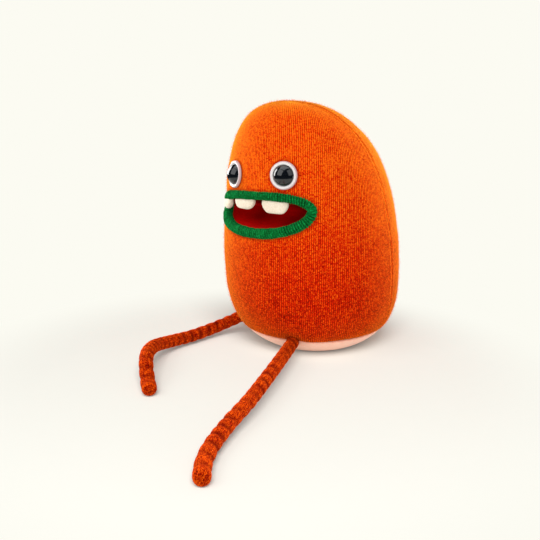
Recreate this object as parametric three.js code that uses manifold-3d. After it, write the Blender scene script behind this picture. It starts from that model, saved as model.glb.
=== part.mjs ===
// Plush monster with a felted knit egg body, a ribbed lip round an open felt mouth,
// three felt teeth, two safety eyes and two long wire-cored legs.
// Millimetres, +Z up. The monster faces -Y and sits on the flat of its base at z = 0.
import * as THREE from 'three';
import { mergeVertices } from 'three/addons/utils/BufferGeometryUtils.js';
import Module from 'manifold-3d';

// Body outline: two smooth curves meet at the widest point
const bodyHeight = 250;
const baseFlatRadius = 46;
const widestRadius = 89.5;
const widestHeight = 71.5;
const baseBulgeRadius = 81.5;
const baseBulgeHeight = 14.5;
const bellyHandleHeight = 44.5;
const shoulderHeight = 185.5;
const crownBreadth = 67.5;
const bodyLean = 19;
const crownNod = 26;

// Fabric, filling and fitting clearances
const knitThickness = 3;
const panelThickness = 2.6;
const feltThickness = 2;
const fitGap = 0.3;
const seamHeight = 18.5;
const pelletDepth = 12;

// Mouth: a rounded slot wrapped round the front of the body. The whole face is sewn on a little
// askew: it rises by the tilt for each radian round to the monster's left, and reaches further
// round its right
const mouthMiddleHeight = 151;
const faceTilt = 5;
const mouthLeftAngle = 38.7;
const mouthRightAngle = 49;
const upperLipRise = 15.4;
const lowerLipDrop = 22;
const mouthBackY = -50;
const mouthFoldDrop = 5;
const mouthFoldNarrowing = 0.22;
const mouthFoldCloseness = 0.985;
const upperLipFlatness = 0.8;
const liningInset = 1.2;

// Lip: a stuffed roll of ribbed knit, open along its back where it grips the mouth edge
const lipRadius = 5.3;
const lipSkin = 1.9;
const lipSink = 1.5;
const lipSlitAngle = 40;
const lipBedSlack = 1.6;

// Teeth: puffed felt pads hung from the upper lip. The right one stands further out, in front of
// the corner of the mouth
const teeth = {
  right: { angle: -39, width: 24, length: 10.4, setBack: 0.5 },
  middle: { angle: -15, width: 35, length: 12.2, setBack: 5 },
  left: { angle: 13, width: 31.6, length: 14.6, setBack: 5 },
};
const toothHang = 3;
const toothFollow = 0.5;
const toothThickness = 8;
const toothTaper = 0.8;
const toothSquareness = 0.7;
const toothBluntness = 0.35;
const toothPlumpStart = 0.12;
const toothNarrowest = 0.35;

// Eyes: a black domed safety eye through a white ring, locked by a washer inside
const eyes = {
  right: { angle: -24.5, lipGap: 0.3 },
  left: { angle: 21.3, lipGap: 1.4 },
};
const eyeRadius = 9.8;
const eyeDomeHeight = 6.4;
const eyeRimRadius = 13.1;
const eyeRimHeight = 2.6;
const eyeRimEdge = 1.1;
const eyeRimBrow = 2.1;
const eyeRimFloor = 1.3;
const eyeRimCrest = 1.5;
const eyeBrim = 0.3;
const eyeShankRadius = 2.5;
const eyeShankLength = 9;
const eyeSink = 0.6;
const washerRadius = 8;
const washerThickness = 1.6;
const edgeRound = 0.5;

// Legs: knit tubes over batting, wrinkled across, with a bendable wire down the middle
const legRadius = 6;
const legTipRadius = 6.6;
const legWrinkle = 0.3;
const legWrinklePitch = 9;
const legWireRadius = 1;
const hipPivotReach = 15;
const liftPivotReach = 35;
const jointSetBack = 5.2;
const jointGap = 0.45;
const wireEndGap = 0.3;
const crossBendReach = 4;

// Each leg leaves the body at its hip and follows a route chosen by hand: steps across the floor
// counted from the hip, with the height above the floor
const legRootDepth = 2.5;
const leftHipAngle = 19.8;
const leftHipHeight = 19.4;
const leftKneeReach = 148;
const leftRoute = [
  [2.4, -5.4, 18.8], [13.2, -28.8, 19], [23.8, -52.3, 19.4], [43.1, -99.4, 18], [56.3, -136, 15.5],
  [66.4, -172.2, 12], [80.1, -208.3, 9], [93, -229.2, 7.4], [101.5, -239, 7],
];
const rightHipAngle = -64;
const rightHipHeight = 21;
const rightKneeReach = 150;
const rightRoute = [
  [-2.3, -5.4, 19.4], [-9.4, -19.6, 14.8], [-15.3, -37, 11], [-19.7, -67.6, 9], [-21.5, -91, 10.2],
  [-14.6, -119.4, 15.4], [-1.6, -140.8, 20.8], [13.7, -161, 23], [23.8, -171.5, 19], [31.3, -177.6, 12.4],
  [38.6, -183.2, 8.2], [44.2, -187.4, 7.1],
];

// Inner wire that joins the two legs through the stuffing, between the two routes
const crossWireRoute = [
  [16, -51, 20], [3, -33, 20.6], [-14, -21, 21], [-34, -15, 21], [-51, -17, 21], [-60.5, -25, 21],
];

// Colour and surface of each material
const orangeKnit = { color: 0xe2460a, roughness: 0.95 };
const legKnit = { color: 0xbe3307, roughness: 0.95 };
const pinkKnit = { color: 0xf8bba3, roughness: 0.95 };
const greenRib = { color: 0x0c6a2e, roughness: 0.9 };
const redFelt = { color: 0x7a0a04, roughness: 1 };
const creamFelt = { color: 0xf6ead2, roughness: 1 };
const whitePlastic = { color: 0xf4f4f0, roughness: 0.35 };
const blackPlastic = { color: 0x090d14, roughness: 0.08 };
const steelWire = { color: 0x9a9a98, roughness: 0.4, metalness: 0.9 };
const bagCloth = { color: 0xd9d2c4, roughness: 0.9 };
const stuffingFibre = { color: 0xf2f0ea, roughness: 1 };
const cottonCord = { color: 0xe8e4da, roughness: 1 };

// How finely the shapes are cut. Skins that lie close together share one facet count, so that
// their facets stay parallel
const outerFacets = { sides: 40, bellyRings: 5, crownRings: 10 };
const innerFacets = { sides: 30, bellyRings: 4, crownRings: 8 };
const crownStop = 0.985;
const mouthSteps = 32;
const mouthRows = 5;
const lipSteps = 36;
const lipSkinSides = 9;
const lipBoreSides = 8;
const lipCordSides = 6;
const lipRoomSides = 10;
const toothRows = 7;
const toothSides = 16;
const latheSides = 24;
const domeArcSteps = 7;
const rimArcSteps = 3;
const legSides = 8;
const legDomeRows = 3;
const ringMargin = 2;
const wireStation = 8;
const legWireSides = 6;
const crossWireSides = 8;
const cupSides = 14;
const cupRows = 10;
const routeDivisions = 600;
const weldDistance = 1e-5;
const angleNudge = 0.01;
const heightNudge = 1;
const outlineHalvings = 40;

const wasm = await Module();
wasm.setup();
const upAxis = new THREE.Vector3(0, 0, 1);
const fromDegrees = THREE.MathUtils.degToRad;

// The angle of one step of a full turn
function turnAt(step, steps) {
  return (step / steps) * 2 * Math.PI;
}

// A closed mesh becomes a solid once its shared corners are merged
function solidOf(geometry) {
  const bare = geometry.clone();
  bare.deleteAttribute('normal');
  bare.deleteAttribute('uv');
  const merged = mergeVertices(bare, weldDistance);
  const vertProperties = new Float32Array(merged.attributes.position.array);
  const triVerts = new Uint32Array(merged.index.array);
  return new wasm.Manifold(new wasm.Mesh({ numProp: 3, vertProperties, triVerts }));
}

function geometryOf(solid) {
  const mesh = solid.getMesh();
  const geometry = new THREE.BufferGeometry();
  geometry.setAttribute('position', new THREE.BufferAttribute(new Float32Array(mesh.vertProperties), 3));
  geometry.setIndex(new THREE.BufferAttribute(new Uint32Array(mesh.triVerts), 1));
  geometry.computeVertexNormals();
  return geometry;
}

// A skin over rings of equal count, with flat ends, or joined end to end when looped
function skinRings(rings, looped = false) {
  const count = rings[0].length;
  const points = rings.flat();
  const faces = [];
  const spans = looped ? rings.length : rings.length - 1;
  for (let row = 0; row < spans; row += 1) {
    const here = row * count;
    const next = ((row + 1) % rings.length) * count;
    for (let step = 0; step < count; step += 1) {
      const beside = (step + 1) % count;
      faces.push(here + step, here + beside, next + beside);
      faces.push(here + step, next + beside, next + step);
    }
  }
  if (!looped) {
    closeEnd(points, faces, 0, count, true);
    closeEnd(points, faces, (rings.length - 1) * count, count, false);
  }
  const geometry = new THREE.BufferGeometry().setFromPoints(points);
  geometry.setIndex(faces);
  return geometry;
}

// A flat end is a fan of faces round the middle of its ring
function closeEnd(points, faces, start, count, first) {
  const middle = new THREE.Vector3();
  for (let step = 0; step < count; step += 1) {
    middle.addScaledVector(points[start + step], 1 / count);
  }
  const hub = points.push(middle) - 1;
  for (let step = 0; step < count; step += 1) {
    const beside = start + ((step + 1) % count);
    faces.push(hub, first ? beside : start + step, first ? start + step : beside);
  }
}

// Body outline: radius by height, from the flat base to the crown
const bellyCurve = new THREE.CubicBezierCurve(
  new THREE.Vector2(baseFlatRadius, 0),
  new THREE.Vector2(baseBulgeRadius, baseBulgeHeight),
  new THREE.Vector2(widestRadius, bellyHandleHeight),
  new THREE.Vector2(widestRadius, widestHeight),
);
const crownCurve = new THREE.CubicBezierCurve(
  new THREE.Vector2(widestRadius, widestHeight),
  new THREE.Vector2(widestRadius, shoulderHeight),
  new THREE.Vector2(crownBreadth, bodyHeight),
  new THREE.Vector2(0, bodyHeight),
);

// The middle of the body leans forward with height and nods over at the crown
function centreAt(height) {
  const share = Math.max(0, height) / bodyHeight;
  return -bodyLean * share - crownNod * share ** 6;
}

function outlineAt(height) {
  const curve = height < widestHeight ? bellyCurve : crownCurve;
  let low = 0;
  let high = 1;
  for (let step = 0; step < outlineHalvings; step += 1) {
    const middle = (low + high) / 2;
    if (curve.getPoint(middle).y < height) {
      low = middle;
    } else {
      high = middle;
    }
  }
  return curve.getPoint(low).x;
}

// The whole body shape, grown or shrunk by an offset square to its surface
function bodyForm(offset, { sides, bellyRings, crownRings }) {
  const rings = [];
  const addRing = (curve, share) => {
    const point = curve.getPoint(share);
    const along = curve.getTangent(share);
    const radius = point.x + along.y * offset;
    const height = point.y - along.x * offset;
    const ring = [];
    for (let side = 0; side < sides; side += 1) {
      const angle = turnAt(side, sides);
      const middle = centreAt(point.y);
      ring.push(new THREE.Vector3(radius * Math.cos(angle), middle + radius * Math.sin(angle), height));
    }
    rings.push(ring);
  };
  for (let row = 0; row < bellyRings; row += 1) {
    addRing(bellyCurve, row / bellyRings);
  }
  for (let row = 0; row <= crownRings; row += 1) {
    addRing(crownCurve, Math.sin((row / crownRings) * Math.PI / 2) * crownStop);
  }
  return solidOf(skinRings(rings));
}

function slabBetween(low, high) {
  const span = 4 * widestRadius;
  const box = new THREE.BoxGeometry(span, span, high - low);
  box.translate(0, 0, (low + high) / 2);
  return solidOf(box);
}

// A point on the body at an angle round from straight ahead
function onBody(angle, height, offset = 0) {
  const radius = outlineAt(height) + offset;
  return new THREE.Vector3(radius * Math.sin(angle), centreAt(height) - radius * Math.cos(angle), height);
}

function bodyNormal(angle, height) {
  const around = onBody(angle + angleNudge, height).sub(onBody(angle - angleNudge, height));
  const upward = onBody(angle, height + heightNudge).sub(onBody(angle, height - heightNudge));
  return around.cross(upward).normalize();
}

// How far the mouth reaches round the side that a signed value is on
function mouthHalfAngle(side) {
  return fromDegrees(side > 0 ? mouthLeftAngle : mouthRightAngle);
}

// Mouth outline, flatter along the upper lip than the lower one, grown by an offset
function mouthPoint(turn, grow, offset) {
  const across = Math.cos(turn);
  const upward = Math.sin(turn);
  const power = upward > 0 ? upperLipFlatness : 1;
  const reach = upward > 0 ? upperLipRise + grow : lowerLipDrop + grow;
  const halfAngle = mouthHalfAngle(across) + grow / outlineAt(mouthMiddleHeight);
  const angle = Math.sign(across) * Math.abs(across) ** power * halfAngle;
  return onBody(angle, mouthMiddleHeight + faceTilt * angle + reach * upward, offset);
}

// Height of the middle line of the upper lip at an angle round the body
function upperLipAt(angle) {
  const share = Math.min(1, Math.abs(angle) / mouthHalfAngle(angle));
  const rise = Math.sqrt(1 - share ** (2 / upperLipFlatness));
  return mouthMiddleHeight + faceTilt * angle + upperLipRise * rise;
}

// The space inside the mouth: it starts well outside the body and narrows to a level fold
const mouthFoldHeight = mouthMiddleHeight - mouthFoldDrop;
function mouthSpace(grow) {
  const outside = [];
  for (let step = 0; step < mouthSteps; step += 1) {
    outside.push(mouthPoint(-turnAt(step, mouthSteps), grow, 5 * lipRadius));
  }
  const rings = [outside];
  for (let row = 0; row <= mouthRows; row += 1) {
    const depth = Math.sin((row / mouthRows) * Math.PI / 2) * mouthFoldCloseness;
    const closing = Math.sqrt(1 - depth * depth);
    const ring = [];
    for (let step = 0; step < mouthSteps; step += 1) {
      const rim = mouthPoint(-turnAt(step, mouthSteps), grow, 0);
      ring.push(new THREE.Vector3(
        rim.x * (1 - mouthFoldNarrowing * depth * depth),
        THREE.MathUtils.lerp(rim.y, mouthBackY + grow, depth),
        mouthFoldHeight + (rim.z - mouthFoldHeight) * closing,
      ));
    }
    rings.push(ring);
  }
  return solidOf(skinRings(rings));
}

// Frames that follow the lip, with the first axis square to the body
function lipFrames(steps) {
  const frames = [];
  for (let step = 0; step < steps; step += 1) {
    const turn = turnAt(step, steps);
    const place = mouthPoint(turn, 0, -lipSink);
    const along = mouthPoint(turn + angleNudge, 0, -lipSink);
    along.sub(mouthPoint(turn - angleNudge, 0, -lipSink)).normalize();
    const angle = Math.atan2(place.x, centreAt(place.z) - place.y);
    const outward = bodyNormal(angle, place.z);
    outward.addScaledVector(along, -outward.dot(along)).normalize();
    frames.push({ place, outward, sideways: along.clone().cross(outward) });
  }
  return frames;
}

function lipSweep(section, steps) {
  const rings = lipFrames(steps).map(({ place, outward, sideways }) => section.map(([radius, angle]) => (
    place.clone()
      .addScaledVector(outward, radius * Math.cos(angle))
      .addScaledVector(sideways, radius * Math.sin(angle))
  )));
  return solidOf(skinRings(rings, true));
}

function roundSection(radius, sides) {
  return Array.from({ length: sides }, (_, side) => [radius, turnAt(side, sides)]);
}

// The lip's skin is a ring with a slit along its back
function slitSection() {
  const half = Math.PI - fromDegrees(lipSlitAngle) / 2;
  const section = [];
  for (let side = 0; side <= lipSkinSides; side += 1) {
    section.push([lipRadius, THREE.MathUtils.lerp(-half, half, side / lipSkinSides)]);
  }
  for (let side = 0; side <= lipBoreSides; side += 1) {
    section.push([lipRadius - lipSkin, THREE.MathUtils.lerp(half, -half, side / lipBoreSides)]);
  }
  return section;
}

// A share of a squared-off circle, signed as the value given
function squared(value) {
  return Math.sign(value) * Math.abs(value) ** toothSquareness;
}

// A tooth is a puffed pad, wrapped to the curve of the mouth and narrower below. Its top lies a
// little lower than the middle line of the upper lip, which hides it, and follows it in part
function toothSolid(tooth) {
  const middleAngle = fromDegrees(tooth.angle);
  const rings = [];
  for (let row = 0; row <= toothRows; row += 1) {
    const drop = row / toothRows;
    const bulge = Math.max(0, Math.sin(Math.PI * THREE.MathUtils.lerp(toothPlumpStart, 1, drop)));
    const swell = Math.max(toothPlumpStart, bulge ** toothBluntness);
    const narrowing = THREE.MathUtils.lerp(toothNarrowest, 1, swell);
    const halfWidth = (tooth.width / 2) * THREE.MathUtils.lerp(1, toothTaper, drop) * narrowing;
    const halfDepth = (toothThickness / 2) * swell;
    const ring = [];
    for (let side = 0; side < toothSides; side += 1) {
      const turn = turnAt(side, toothSides);
      const across = squared(Math.cos(turn)) * halfWidth;
      const depth = squared(Math.sin(turn)) * halfDepth;
      const angle = middleAngle + across / outlineAt(mouthMiddleHeight);
      const top = THREE.MathUtils.lerp(upperLipAt(middleAngle), upperLipAt(angle), toothFollow);
      ring.push(onBody(angle, top - toothHang - tooth.length * drop, -tooth.setBack - depth));
    }
    rings.push(ring.reverse());
  }
  return solidOf(skinRings(rings));
}

// Eye pieces are turned about a shank that stands square to the body
function turned(profile) {
  const geometry = new THREE.LatheGeometry(profile.map(([x, y]) => new THREE.Vector2(x, y)), latheSides);
  geometry.rotateX(Math.PI / 2);
  return solidOf(geometry);
}

// A plain disc with its middle on the shank
function disc(radius, bottom, top) {
  return turned([[0, bottom], [radius, bottom], [radius, top], [0, top]]);
}

// The rim is a ring whose rounded outside falls away from a crest, round a recess for the eye
const shankHoleRadius = eyeShankRadius + fitGap;
function eyeRimSolid() {
  const profile = [
    [shankHoleRadius, 0],
    [eyeRimRadius - edgeRound, 0],
    [eyeRimRadius, edgeRound],
  ];
  for (let step = 0; step <= rimArcSteps; step += 1) {
    const lean = turnAt(step, 4 * rimArcSteps);
    profile.push([
      eyeRimRadius - eyeRimCrest * (1 - Math.cos(lean)),
      THREE.MathUtils.lerp(eyeRimEdge, eyeRimHeight, Math.sin(lean)),
    ]);
  }
  profile.push(
    [eyeRadius + fitGap, eyeRimBrow],
    [eyeRadius + fitGap, eyeRimFloor],
    [shankHoleRadius, eyeRimFloor],
    [shankHoleRadius, 0],
  );
  return turned(profile);
}

// The eye is a part of a ball on a brim, with its shank behind
function eyeSolid() {
  const foot = eyeRimFloor + fitGap;
  const profile = [
    [0, -eyeShankLength],
    [eyeShankRadius - edgeRound, -eyeShankLength],
    [eyeShankRadius, edgeRound - eyeShankLength],
    [eyeShankRadius, foot],
    [eyeRadius - eyeBrim, foot],
  ];
  const ballRadius = (eyeRadius ** 2 + eyeDomeHeight ** 2) / (2 * eyeDomeHeight);
  const widest = Math.asin(eyeRadius / ballRadius);
  for (let step = 0; step < domeArcSteps; step += 1) {
    const lean = widest * (1 - step / domeArcSteps);
    const rise = ballRadius * (Math.cos(lean) - Math.cos(widest));
    profile.push([ballRadius * Math.sin(lean), foot + eyeBrim + rise]);
  }
  profile.push([0, foot + eyeBrim + eyeDomeHeight]);
  return turned(profile);
}

const washerTop = -(knitThickness + fitGap);
const washerBottom = washerTop - washerThickness;
function washerSolid() {
  return turned([
    [shankHoleRadius, washerBottom],
    [washerRadius - edgeRound, washerBottom],
    [washerRadius, washerBottom + edgeRound],
    [washerRadius, washerTop],
    [shankHoleRadius, washerTop],
    [shankHoleRadius, washerBottom],
  ]);
}

// Each eye stands just above the upper lip
function eyePlace(eye) {
  const angle = fromDegrees(eye.angle);
  const height = upperLipAt(angle) + lipRadius + eye.lipGap + eyeRimRadius;
  const outward = bodyNormal(angle, height);
  const place = onBody(angle, height).addScaledVector(outward, -eyeSink);
  const turn = new THREE.Quaternion().setFromUnitVectors(upAxis, outward);
  return new THREE.Matrix4().compose(place, turn, new THREE.Vector3(1, 1, 1));
}

function placed(solid, matrix) {
  return solid.transform(matrix.elements);
}

// A route is measured by its length, and each station has a frame that doesn't twist
class Route {
  constructor(points) {
    const corners = points.map((point) => new THREE.Vector3(...point));
    this.curve = new THREE.CatmullRomCurve3(corners, false, 'centripetal');
    this.curve.arcLengthDivisions = routeDivisions;
    this.length = this.curve.getLength();
  }

  at(reach) {
    const share = THREE.MathUtils.clamp(reach / this.length, 0, 1);
    const place = this.curve.getPointAt(share);
    const along = this.curve.getTangentAt(share);
    const side = along.clone().cross(upAxis).normalize();
    return { place, along, side, over: side.clone().cross(along) };
  }
}

function ringAt(frame, shift, radius, sides) {
  const ring = [];
  for (let side = 0; side < sides; side += 1) {
    const angle = turnAt(side, sides);
    ring.push(frame.place.clone()
      .addScaledVector(frame.along, shift)
      .addScaledVector(frame.side, radius * Math.cos(angle))
      .addScaledVector(frame.over, -radius * Math.sin(angle)));
  }
  return ring;
}

// Leg radius by reach: it swells towards the toe and wrinkles across
function legRadiusAt(route, reach, wrinkled) {
  const share = THREE.MathUtils.clamp(reach / route.length, 0, 1);
  const plain = THREE.MathUtils.lerp(legRadius, legTipRadius, share ** 3);
  return plain + (wrinkled ? legWrinkle * Math.cos(turnAt(reach, legWrinklePitch)) : 0);
}

// A stretch of leg cover. It starts in a round dome at a pivot and stops short of the next one
function legStretch(route, from, to, domedStart, domedEnd) {
  const rings = [];
  const startFrame = route.at(from);
  const startRadius = legRadiusAt(route, from, false);
  if (domedStart) {
    for (let row = 1; row <= legDomeRows; row += 1) {
      const lean = (Math.PI / 2) * (1 - row / (legDomeRows + 1));
      rings.push(ringAt(startFrame, -startRadius * Math.sin(lean), startRadius * Math.cos(lean), legSides));
    }
  }
  rings.push(ringAt(startFrame, 0, startRadius, legSides));
  const step = legWrinklePitch / 2;
  for (let index = Math.ceil((from + ringMargin) / step); index * step < to - ringMargin; index += 1) {
    rings.push(ringAt(route.at(index * step), 0, legRadiusAt(route, index * step, true), legSides));
  }
  const endFrame = route.at(to);
  const endRadius = legRadiusAt(route, to, false);
  rings.push(ringAt(endFrame, 0, endRadius, legSides));
  if (domedEnd) {
    for (let row = 1; row <= legDomeRows; row += 1) {
      const lean = (Math.PI / 2) * (row / (legDomeRows + 1));
      rings.push(ringAt(endFrame, endRadius * Math.sin(lean), endRadius * Math.cos(lean), legSides));
    }
  }
  return solidOf(skinRings(rings));
}

// Wires and the bores round them bend at the same stations, so they stay clear of each other
function wireStretch(route, from, to, radius, sides) {
  const rings = [];
  const addRing = (reach) => {
    const beyond = reach < 0 ? reach : Math.max(0, reach - route.length);
    rings.push(ringAt(route.at(reach), beyond, radius, sides));
  };
  addRing(from);
  for (let index = Math.ceil((from + 1) / wireStation); index * wireStation < to - 1; index += 1) {
    addRing(index * wireStation);
  }
  addRing(to);
  return solidOf(skinRings(rings));
}

// The hollow end of one stretch of leg, in which the round end of the next one turns
function cupAt(route, reach) {
  const ball = new THREE.SphereGeometry(legRadiusAt(route, reach, false) + jointGap, cupSides, cupRows);
  ball.translate(...route.at(reach).place.toArray());
  return solidOf(ball);
}

const monster = new THREE.Group();
function addPiece(name, solid, finish) {
  const mesh = new THREE.Mesh(geometryOf(solid), new THREE.MeshStandardMaterial(finish));
  mesh.name = name;
  monster.add(mesh);
}

const outerForm = bodyForm(0, outerFacets);
const clearOfBody = bodyForm(fitGap, outerFacets);
const innerForm = bodyForm(-knitThickness, innerFacets);
const panelInnerForm = bodyForm(-panelThickness, innerFacets);
const fillingForm = bodyForm(-knitThickness - fitGap, innerFacets);

const mouthHollow = mouthSpace(-liningInset);
const liningOuter = mouthSpace(feltThickness - liningInset);
const liningRoom = mouthSpace(feltThickness - liningInset + fitGap);
const toothRoom = mouthSpace(-liningInset - fitGap);
const lipRoom = lipSweep(roundSection(lipRadius + fitGap, lipRoomSides), lipSteps);
const lipBed = lipSweep(roundSection(lipRadius + lipBedSlack, lipCordSides), lipSteps);

function legRoute(hipAngle, hipHeight, steps) {
  const hip = onBody(fromDegrees(hipAngle), hipHeight, -legRootDepth);
  return new Route([hip, ...steps.map(([x, y, height]) => [hip.x + x, hip.y + y, height])]);
}

// Both legs share one wire through the stuffing. It ends just short of the first pivots
const legs = [
  { side: 'left', route: legRoute(leftHipAngle, leftHipHeight, leftRoute), knee: leftKneeReach },
  { side: 'right', route: legRoute(rightHipAngle, rightHipHeight, rightRoute), knee: rightKneeReach },
];
const [leftLeg, rightLeg] = legs;
const crossEndReach = hipPivotReach - legRadius - jointGap - wireEndGap;
const crossRoute = new Route([
  leftLeg.route.at(crossEndReach).place,
  leftLeg.route.at(crossBendReach).place,
  ...crossWireRoute,
  rightLeg.route.at(crossBendReach).place,
  rightLeg.route.at(crossEndReach).place,
]);
const crossSpan = crossRoute.length;
const crossWire = wireStretch(crossRoute, 0, crossSpan, legWireRadius, crossWireSides);
const boreRadius = legWireRadius + fitGap;
const crossOverrun = 2 * fitGap;
const crossRoom = wireStretch(crossRoute, -crossOverrun, crossSpan + crossOverrun, boreRadius, crossWireSides);

// Two knit skins, the body cover above the seam and the base panel under it, over the filling
const aboveSeam = slabBetween(seamHeight, 2 * bodyHeight);
const belowSeam = slabBetween(-bodyHeight, seamHeight - fitGap);
const pelletTop = knitThickness + pelletDepth;
let bodyCover = outerForm.subtract(innerForm).intersect(aboveSeam);
bodyCover = bodyCover.subtract(liningRoom).subtract(lipRoom).subtract(crossRoom);
const basePanel = outerForm.subtract(panelInnerForm).intersect(belowSeam).subtract(crossRoom);
const pelletBag = fillingForm.intersect(slabBetween(-bodyHeight, pelletTop));
let stuffing = fillingForm.intersect(slabBetween(pelletTop + fitGap, 2 * bodyHeight));
stuffing = stuffing.subtract(liningRoom).subtract(lipBed).subtract(crossRoom);

// Room for each eye's rim in the cover, and for its shank and washer in cover and stuffing
const eyePlaces = { right: eyePlace(eyes.right), left: eyePlace(eyes.left) };
for (const matrix of Object.values(eyePlaces)) {
  const rimRoom = placed(disc(eyeRimRadius + fitGap, -fitGap, eyeDomeHeight), matrix);
  const washerRoom = placed(disc(washerRadius + fitGap, washerBottom - fitGap, washerTop + fitGap), matrix);
  const shankRoom = placed(disc(shankHoleRadius, -eyeShankLength - fitGap, eyeRimFloor), matrix);
  bodyCover = bodyCover.subtract(rimRoom).subtract(washerRoom).subtract(shankRoom);
  const washerPocket = placed(disc(washerRadius + fitGap, washerBottom - fitGap, 0), matrix);
  stuffing = stuffing.subtract(washerPocket).subtract(shankRoom);
}

addPiece('body_cover', bodyCover, orangeKnit);
addPiece('base_panel', basePanel, pinkKnit);
addPiece('pellet_bag', pelletBag, bagCloth);
addPiece('body_stuffing', stuffing, stuffingFibre);

// Mouth: felt lining, lip skin and the cord that fills the lip
const lining = liningOuter.subtract(mouthHollow).intersect(outerForm).subtract(lipRoom);
addPiece('mouth_lining', lining, redFelt);
addPiece('lip_roll', lipSweep(slitSection(), lipSteps), greenRib);
const cordRadius = lipRadius - lipSkin - fitGap;
addPiece('lip_cord', lipSweep(roundSection(cordRadius, lipCordSides), lipSteps), cottonCord);

for (const [name, tooth] of Object.entries(teeth)) {
  addPiece(`tooth_${name}`, toothSolid(tooth).intersect(toothRoom).subtract(lipRoom), creamFelt);
}

for (const [name, matrix] of Object.entries(eyePlaces)) {
  addPiece(`eye_rim_${name}`, placed(eyeRimSolid(), matrix), whitePlastic);
  addPiece(`eye_${name}`, placed(eyeSolid(), matrix), blackPlastic);
  addPiece(`eye_washer_${name}`, placed(washerSolid(), matrix), whitePlastic);
}

addPiece('armature_crossbar', crossWire, steelWire);

// Each leg is a root sewn to the body and three stretches that turn about three pivots
for (const { side, route, knee } of legs) {
  const rootEnd = hipPivotReach - jointSetBack;
  const root = legStretch(route, 0, rootEnd, false, false).subtract(clearOfBody);
  addPiece(`leg_root_${side}`, root.subtract(cupAt(route, hipPivotReach)).subtract(crossRoom), legKnit);

  const stretches = [
    { name: 'hip', from: hipPivotReach, next: liftPivotReach },
    { name: 'thigh', from: liftPivotReach, next: knee },
    { name: 'shin', from: knee, next: null },
  ];
  for (const { name, from, next } of stretches) {
    const wireStart = from - legRadiusAt(route, from, false) + wireEndGap;
    let wireEnd = route.length;
    let boreEnd = route.length + fitGap;
    let coverEnd = route.length;
    if (next) {
      wireEnd = next - legRadiusAt(route, next, false) - jointGap - wireEndGap;
      boreEnd = next;
      coverEnd = next - jointSetBack;
    }
    const bore = wireStretch(route, wireStart - legRadius, boreEnd, boreRadius, legWireSides);
    let cover = legStretch(route, from, coverEnd, true, !next).subtract(bore);
    if (next) {
      cover = cover.subtract(cupAt(route, next));
    }
    const wire = wireStretch(route, wireStart, wireEnd, legWireRadius, legWireSides);
    addPiece(`leg_${name}_${side}`, cover, legKnit);
    addPiece(`leg_${name}_wire_${side}`, wire, steelWire);
  }
}

export default monster;
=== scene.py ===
"""A plush monster: felted knit body, ribbed lip round a felt mouth, safety eyes and bendable legs."""
import math

import bmesh
import bpy
import numpy as np
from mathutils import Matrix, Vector, noise


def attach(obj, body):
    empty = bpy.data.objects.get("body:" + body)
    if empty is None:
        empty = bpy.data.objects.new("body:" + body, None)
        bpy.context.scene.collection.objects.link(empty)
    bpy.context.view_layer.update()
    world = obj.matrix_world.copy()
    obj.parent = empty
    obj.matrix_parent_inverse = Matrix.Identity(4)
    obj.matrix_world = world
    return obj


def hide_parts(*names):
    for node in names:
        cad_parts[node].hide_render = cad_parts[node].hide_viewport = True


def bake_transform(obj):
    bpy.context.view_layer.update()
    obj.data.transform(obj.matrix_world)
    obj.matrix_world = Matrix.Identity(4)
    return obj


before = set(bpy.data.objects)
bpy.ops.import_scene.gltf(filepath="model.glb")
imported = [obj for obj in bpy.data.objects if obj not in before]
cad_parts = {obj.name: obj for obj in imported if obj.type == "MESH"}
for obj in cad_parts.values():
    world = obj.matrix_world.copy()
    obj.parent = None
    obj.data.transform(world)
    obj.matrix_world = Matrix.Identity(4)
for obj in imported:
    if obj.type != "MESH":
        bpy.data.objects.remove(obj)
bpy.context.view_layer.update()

MM = 0.001

# Sizes in millimetres, the same as the solids have
BODY_HEIGHT = 250
BASE_FLAT_RADIUS = 46
WIDEST_RADIUS = 89.5
WIDEST_HEIGHT = 71.5
BASE_BULGE_RADIUS = 81.5
BASE_BULGE_HEIGHT = 14.5
BELLY_HANDLE_HEIGHT = 44.5
SHOULDER_HEIGHT = 185.5
CROWN_BREADTH = 67.5
BODY_LEAN = 19
CROWN_NOD = 26
KNIT_THICKNESS = 3
PANEL_THICKNESS = 2.6
FELT_THICKNESS = 2
SEAM_HEIGHT = 18.5
MOUTH_MIDDLE_HEIGHT = 151
FACE_TILT = 5
MOUTH_LEFT_ANGLE = 38.7
MOUTH_RIGHT_ANGLE = 49
UPPER_LIP_RISE = 15.4
LOWER_LIP_DROP = 22
MOUTH_BACK_Y = -50
MOUTH_FOLD_HEIGHT = MOUTH_MIDDLE_HEIGHT - 5
MOUTH_FOLD_NARROWING = 0.22
MOUTH_FOLD_CLOSENESS = 0.985
UPPER_LIP_FLATNESS = 0.8
LIP_RADIUS = 5.3
LIP_SINK = 1.5
LIP_CORD_SHARE = 0.6
LIP_CORNER_SINK = 3.6
LIP_CORNER_SPREAD = 0.6
RIB_PITCH = 2.5
CORNER_TUCK_DEPTH = 3.0
CORNER_TUCK_REACH = 15
UPPER_LIP_SHARE = 0.84
LINING_INSET = 2.8
LINING_DEPTH = 4.2
TEETH = {
    "right": {"angle": -39, "width": 24, "length": 10.4, "set_back": 2.5},
    "middle": {"angle": -15, "width": 35, "length": 12.2, "set_back": 5},
    "left": {"angle": 13, "width": 31.6, "length": 14.6, "set_back": 5},
}
TOOTH_HANG = 3
TOOTH_FOLLOW = 0.5
TOOTH_THICKNESS = 8
TOOTH_TAPER = 0.8
TOOTH_SQUARENESS = 0.7
TOOTH_BLUNTNESS = 0.35
TOOTH_PLUMP_START = 0.12
TOOTH_NARROWEST = 0.35
TOOTH_EDGE = 0.04
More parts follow.
